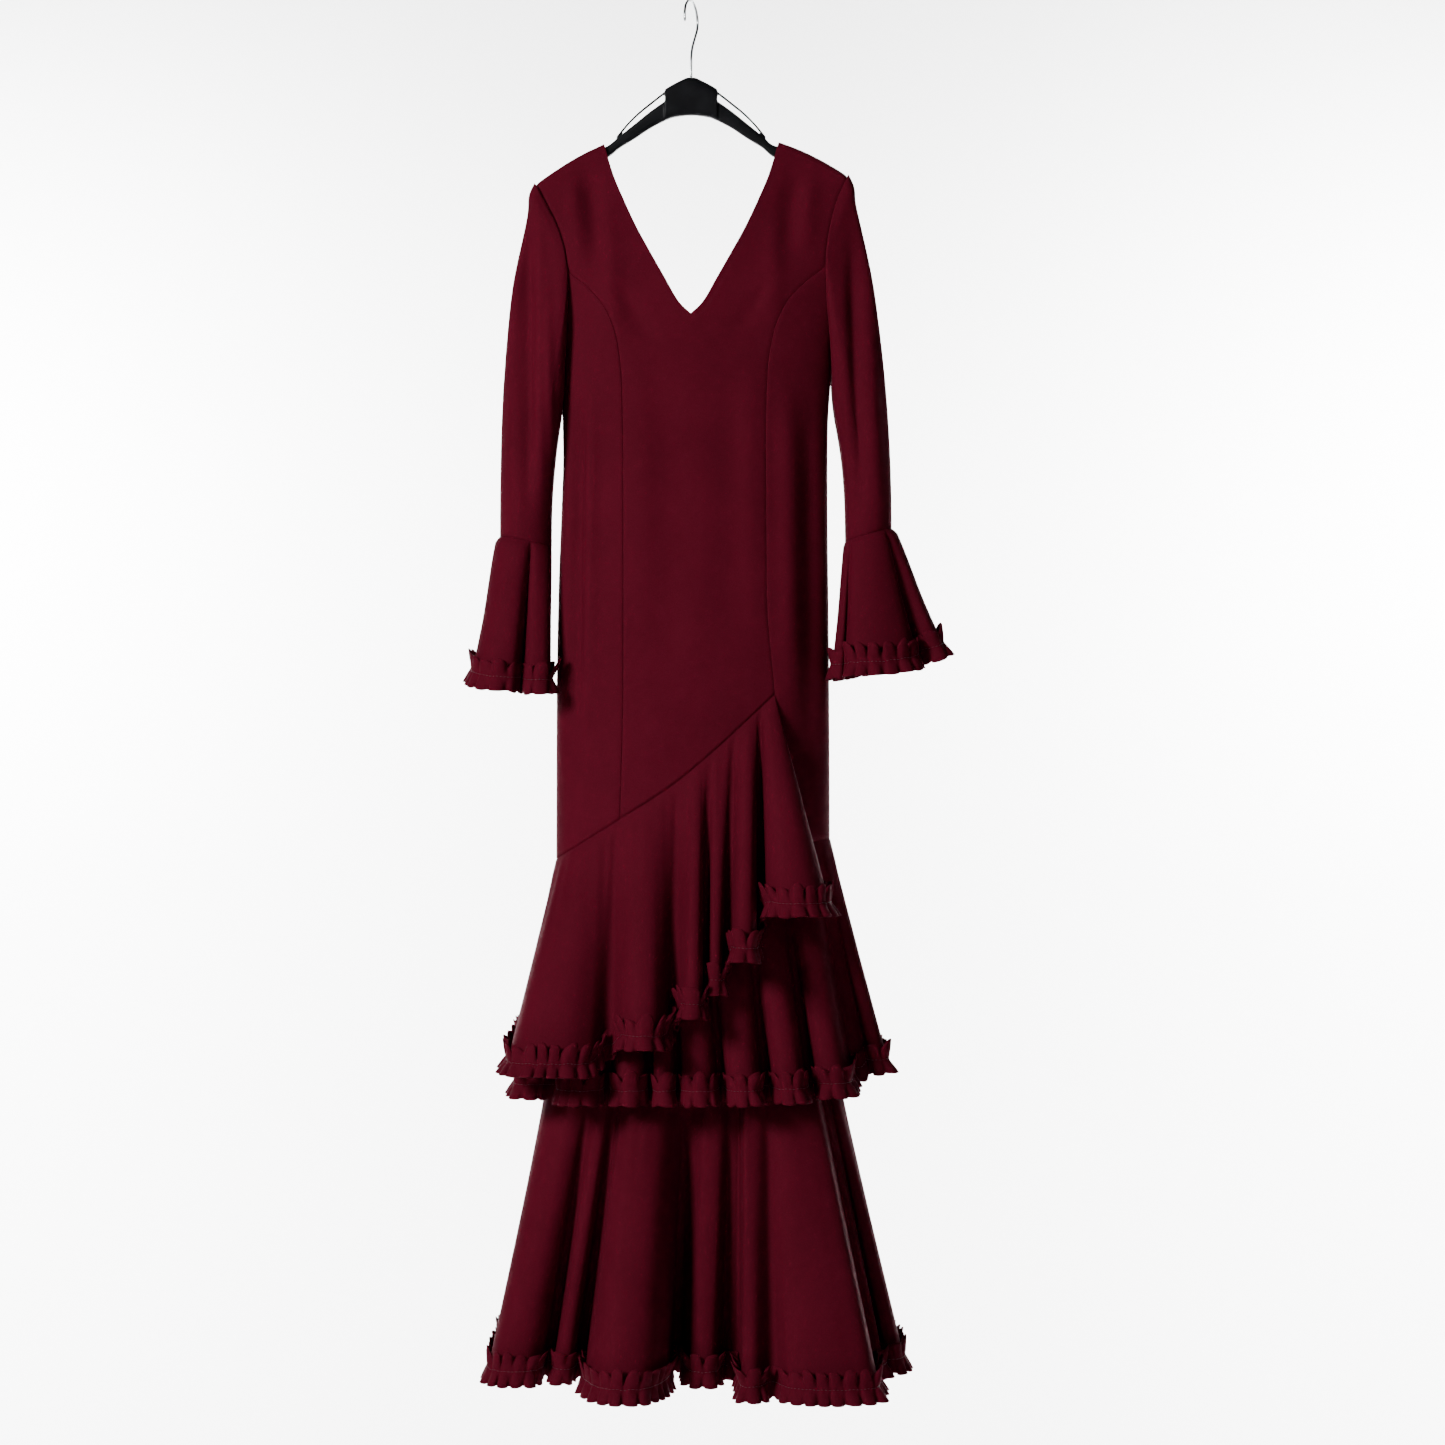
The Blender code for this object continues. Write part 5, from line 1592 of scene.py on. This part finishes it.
@dataclass(frozen=True)
class Hanger:
    """The moulded hanger, which holds the body's shoulders, and its wire hook."""

    body: Body
    cut: HangerCut

    inner_radius = 20.0
    wire = 1.5
    turn = math.radians(70)
    start = math.radians(200)
    end = math.radians(-38)
    neck = ((9.5, -44.0), (3.5, -54.0), (0.6, -64.0), (0.0, -74.0), (0.0, -88.7))
    hook_sides = 20
    hook_steps = 40
    wire_rings = 120
    tip = ((-1.0, 0.15), (-0.87, 0.5), (-0.5, 0.87))

    def bar(self, rows: Sequence[Row], half: float) -> tuple[Array, list[Face]]:
        """Lofts a rounded section along stations of x, top and bottom.

        Args:
            rows: the stations.
            half: half of the section's depth.

        Returns:
            Points and faces.
        """
        table = np.array(sorted(rows))
        at = np.linspace(table[0, 0], table[-1, 0], 5 * len(table))
        top = eased(table[:, 0], table[:, 1], at)
        bottom = eased(table[:, 0], table[:, 2], at)
        power = 2 / self.cut.squareness
        points = []
        for x, high, low in zip(at, top, bottom):
            for step in range(self.cut.sides):
                angle = 2 * math.pi * step / self.cut.sides
                cosine = math.cos(angle)
                sine = math.sin(angle)
                y = half * math.copysign(abs(cosine) ** power, cosine)
                z = (high + low) / 2 + (high - low) / 2 * math.copysign(abs(sine) ** power, sine)
                points.append((x, y, z))
        return np.array(points), rod_faces(len(at), self.cut.sides)

    def moulding(self, finish: Finish) -> Piece:
        """Makes the moulding as one skin over its centre, arms and strap bars."""
        cut = self.cut
        parts = [self.bar(cut.centre, cut.centre_half)]
        for side in (-1, 1):
            rows = [(side * x, top, bottom) for x, top, bottom in cut.arm]
            for x in cut.under_cloth:
                top = float(self.body.shoulder_height(side * x)) - cut.arm_gap
                rows.append((side * x, top, top - cut.arm_height))
            parts.append(self.bar(rows, cut.arm_half))
            straps = [(side * x, top, bottom) for x, top, bottom in cut.bar]
            parts.append(self.bar(straps, cut.bar_half))
        points = []
        faces = []
        for part_points, part_faces in parts:
            offset = len(points)
            points += part_points.tolist()
            faces += [tuple(index + offset for index in face) for face in part_faces]
        made = mesh_object("hanger_moulding", np.array(points), faces, finish, turn_out=True)
        skin = made.modifiers.new("skin", "REMESH")
        skin.mode = "VOXEL"
        skin.voxel_size = cut.voxel * MM
        skin.use_smooth_shade = True
        soften = made.modifiers.new("soften", "SMOOTH")
        soften.factor = 0.5
        soften.iterations = 3
        place(made, Slot.PLASTIC, ("hanger",))
        return made

    def hook_path(self) -> Array:
        """Middle of the wire."""
        radius = self.inner_radius + self.wire
        path = []
        for step in range(self.hook_steps + 1):
            angle = self.start + (self.end - self.start) * step / self.hook_steps
            path.append((radius * math.cos(angle), radius * math.sin(angle) - self.inner_radius))
        path = np.array(path + list(self.neck))
        knots = knots_of(path)
        path = spline(knots, path, np.linspace(0, knots[-1], self.wire_rings))
        out = path[:, 0]
        return np.stack([out * math.cos(self.turn), out * math.sin(self.turn), path[:, 1]], axis=-1)

    def hook(self, finish: Finish) -> Piece:
        """Makes the bent wire with rounded ends."""
        path = self.hook_path()
        ahead = unit(np.gradient(path, axis=0))
        flat = np.array([-math.sin(self.turn), math.cos(self.turn), 0.0])
        across = unit(np.cross(ahead, flat))
        points = []
        stations = []
        for back, size in self.tip:
            stations.append((path[0] + ahead[0] * self.wire * (back + 1), across[0], size))
        stations += [(centre, side, 1.0) for centre, side in zip(path[3:], across[3:])]
        for centre, side, size in stations:
            for step in range(self.hook_sides):
                angle = 2 * math.pi * step / self.hook_sides
                ray = flat * math.cos(angle) + side * math.sin(angle)
                points.append(centre + self.wire * size * ray)
        faces = rod_faces(len(stations), self.hook_sides)
        made = mesh_object("hook_wire", np.array(points), faces, finish, turn_out=True)
        place(made, Slot.STEEL, ("hook",))
        return made

    def build(self, plastic: Finish, steel: Finish) -> list[Piece]:
        """Makes the moulding and the hook."""
        return [self.moulding(plastic), self.hook(steel)]


class MaterialMaker:
    """A node-based material in the making."""

    def __init__(self, name: str, **values: float | Colour) -> None:
        """Starts a material from its name and its shader's plain inputs, spaces as underscores."""
        self.made = bpy.data.materials.new(name)
        self.made.use_nodes = True
        self.tree = self.made.node_tree
        self.shader = self.tree.nodes["Principled BSDF"]
        self.coordinates = self.tree.nodes.new("ShaderNodeTexCoord")
        for key, value in values.items():
            self.shader.inputs[key.replace("_", " ")].default_value = value

    def node(self, kind: str, **inputs: float | Socket) -> bpy.types.Node:
        """A new node with its inputs set or joined."""
        made = self.tree.nodes.new(kind)
        for key, value in inputs.items():
            if isinstance(value, bpy.types.NodeSocket):
                self.tree.links.new(value, made.inputs[key])
            else:
                made.inputs[key].default_value = value
        return made

    def noise(self, scale: float, detail: float) -> Socket:
        """A noise texture in object space."""
        place_at = self.coordinates.outputs["Object"]
        made = self.node("ShaderNodeTexNoise", Scale=scale, Detail=detail, Vector=place_at)
        return made.outputs["Fac"]

    def ramp(self, source: Socket, *stops: tuple[float, Colour]) -> Socket:
        """A colour ramp from a value."""
        made = self.node("ShaderNodeValToRGB", Fac=source)
        while len(made.color_ramp.elements) < len(stops):
            made.color_ramp.elements.new(0.5)
        for element, (place_at, colour) in zip(made.color_ramp.elements, stops):
            element.position = place_at
            element.color = colour
        return made.outputs["Color"]

    def bump(self, height: Socket, distance: float, **under: Socket) -> Socket:
        """A bump from a height, over another bump's Normal if there is one."""
        made = self.node("ShaderNodeBump", Strength=1.0, Distance=distance, Height=height, **under)
        return made.outputs["Normal"]

    def done(self, colour: Socket, normal: Socket | None = None) -> Finish:
        """Joins the colour and the bump to the shader."""
        self.tree.links.new(colour, self.shader.inputs["Base Color"])
        if normal is not None:
            self.tree.links.new(normal, self.shader.inputs["Normal"])
        return self.made

    @classmethod
    def cloth(cls, look: ClothFinish) -> Finish:
        """Burgundy crepe: fine pebbled grain, slubs and faint clouding."""
        maker = cls(
            "burgundy_crepe",
            Roughness=look.roughness,
            Sheen_Weight=look.sheen,
            Sheen_Roughness=look.sheen_roughness,
            Sheen_Tint=look.sheen_tint,
            Specular_IOR_Level=look.shine,
        )
        cloud = maker.ramp(maker.noise(look.cloud_scale, 3.0), (0.3, look.deep), (0.7, look.base))
        grain = maker.noise(look.crepe_scale, 2.0)
        fleck = maker.ramp(grain, (0.35, look.deep), (0.72, look.fleck))
        mix = maker.node("ShaderNodeMix", Factor=look.fleck_share)
        mix.data_type = "RGBA"
        maker.tree.links.new(cloud, mix.inputs["A"])
        maker.tree.links.new(fleck, mix.inputs["B"])
        soft = maker.bump(maker.noise(look.slub_scale, 2.0), look.slub_bump)
        return maker.done(mix.outputs["Result"], maker.bump(grain, look.crepe_bump, Normal=soft))

    @classmethod
    def thread(cls, look: ThreadFinish) -> Finish:
        """Sewing thread."""
        maker = cls("burgundy_thread", Roughness=look.roughness)
        dark = tuple(look.shade * part for part in look.base[:3]) + (1.0,)
        twist = maker.noise(look.twist_scale, 1.0)
        return maker.done(maker.ramp(twist, (0.3, dark), (0.7, look.base)))

    @classmethod
    def plastic(cls, look: PlasticFinish) -> Finish:
        """Black moulded plastic."""
        maker = cls("black_moulding", Roughness=look.roughness, Specular_IOR_Level=look.shine)
        grain = maker.bump(maker.noise(look.grain_scale, 2.0), look.grain_bump)
        wear = maker.noise(look.wear_scale, 3.0)
        return maker.done(maker.ramp(wear, (0.4, look.base), (0.75, look.worn)), grain)

    @classmethod
    def steel(cls, look: SteelFinish) -> Finish:
        """Plated wire."""
        maker = cls("plated_wire", Roughness=look.roughness, Metallic=1.0)
        lines = maker.noise(look.line_scale, 1.0)
        return maker.done(maker.ramp(lines, (0.25, look.dull), (0.6, look.base)))


@dataclass(frozen=True)
class Lamp:
    """A soft area light: where it is, what it faces, its size and power."""

    place: tuple[float, float, float]
    aim: tuple[float, float, float]
    size: float
    watts: float


@dataclass(frozen=True)
class Studio:
    """Pale floor and backdrop, soft light and the photograph's camera."""

    lens: float = 65.45
    sensor: float = 36.0
    camera: tuple[float, float, float] = (0.037, -3.1, -0.850)
    floor_z: float = -2.7
    back_y: float = 4.4
    curve: float = 1.4
    half_width: float = 7.0
    near_y: float = -6.0
    top_z: float = 4.5
    curve_steps: int = 16
    paper_scale: float = 60.0
    paper_roughness: float = 0.9
    paper_dark: Colour = (0.935, 0.935, 0.94, 1.0)
    paper_light: Colour = (0.95, 0.95, 0.95, 1.0)
    room_tint: Colour = (0.95, 0.97, 1.0, 1.0)
    room_strength: float = 0.06
    lamps: tuple[Lamp, ...] = (
        Lamp((-2.35, -2.6, 0.45), (0.0, 0.0, -0.9), 0.9, 216.0),
        Lamp((1.3, -3.1, 0.0), (0.0, 0.0, -0.9), 0.9, 8.0),
        Lamp((-2.6, 2.5, -0.1), (-1.7, 4.4, -1.1), 1.4, 700.0),
        Lamp((2.6, 2.5, -0.1), (1.7, 4.4, -1.1), 1.4, 700.0),
    )

    def sweep(self) -> None:
        """Makes the floor that curves up into the backdrop."""
        profile = [(self.near_y, self.floor_z)]
        for step in range(self.curve_steps + 1):
            angle = QUARTER * step / self.curve_steps
            y = self.back_y - self.curve + self.curve * math.sin(angle)
            profile.append((y, self.floor_z + self.curve * (1 - math.cos(angle))))
        profile.append((self.back_y, self.top_z))
        points = []
        for y, z in profile:
            points += [(-self.half_width, y, z), (self.half_width, y, z)]
        faces = [(2 * n, 2 * n + 1, 2 * n + 3, 2 * n + 2) for n in range(len(profile) - 1)]
        maker = MaterialMaker("pale_paper", Roughness=self.paper_roughness)
        grain = maker.noise(self.paper_scale, 3.0)
        paper = maker.done(maker.ramp(grain, (0.3, self.paper_dark), (0.7, self.paper_light)))
        floor = mesh_object("studio_sweep", np.array(points) / MM, faces, paper)

    def light(self) -> None:
        """Makes the lamps and the room's own light."""
        for number, lamp in enumerate(self.lamps):
            data = bpy.data.lights.new(f"lamp_{number}", "AREA")
            data.energy = lamp.watts
            data.size = lamp.size
            made = bpy.data.objects.new(f"lamp_{number}", data)
            bpy.context.scene.collection.objects.link(made)
            made.location = lamp.place
            aim = Vector(lamp.aim) - Vector(lamp.place)
            made.rotation_euler = aim.to_track_quat("-Z", "Y").to_euler()
        world = bpy.data.worlds.new("room")
        world.use_nodes = True
        background = world.node_tree.nodes["Background"]
        background.inputs["Color"].default_value = self.room_tint
        background.inputs["Strength"].default_value = self.room_strength
        bpy.context.scene.world = world

    def shoot(self) -> None:
        """Makes the camera, level and square to the dress."""
        data = bpy.data.cameras.new("camera")
        data.lens = self.lens
        data.sensor_width = self.sensor
        made = bpy.data.objects.new("camera", data)
        bpy.context.scene.collection.objects.link(made)
        made.location = self.camera
        made.rotation_euler = (QUARTER, 0.0, 0.0)
        bpy.context.scene.camera = made

    def build(self) -> None:
        """Makes the whole studio."""
        self.sweep()
        self.light()
        self.shoot()


def main() -> None:
    """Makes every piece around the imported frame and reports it."""
    logging.basicConfig(level=logging.INFO, format="%(name)s: %(message)s")
    Studio().build()
    cloth = MaterialMaker.cloth(ClothFinish())
    thread = MaterialMaker.thread(ThreadFinish())
    plastic = MaterialMaker.plastic(PlasticFinish())
    steel = MaterialMaker.steel(SteelFinish())
    body = Body()
    bodice = Bodice(body)
    cut = RuffleCut()
    pieces = Hanger(body, HangerCut()).build(plastic, steel)
    pieces += bodice.build(cloth)
    pieces += Skirt(body).build(cloth)
    pieces += SkirtTiers(body, cut).build(cloth, thread)
    pieces += Sleeves(bodice, cut).build(cloth, thread)
    for piece in pieces:
        LOG.info("%s: %d faces", piece.name, len(piece.data.polygons))


if __name__ == "__main__":
    main()
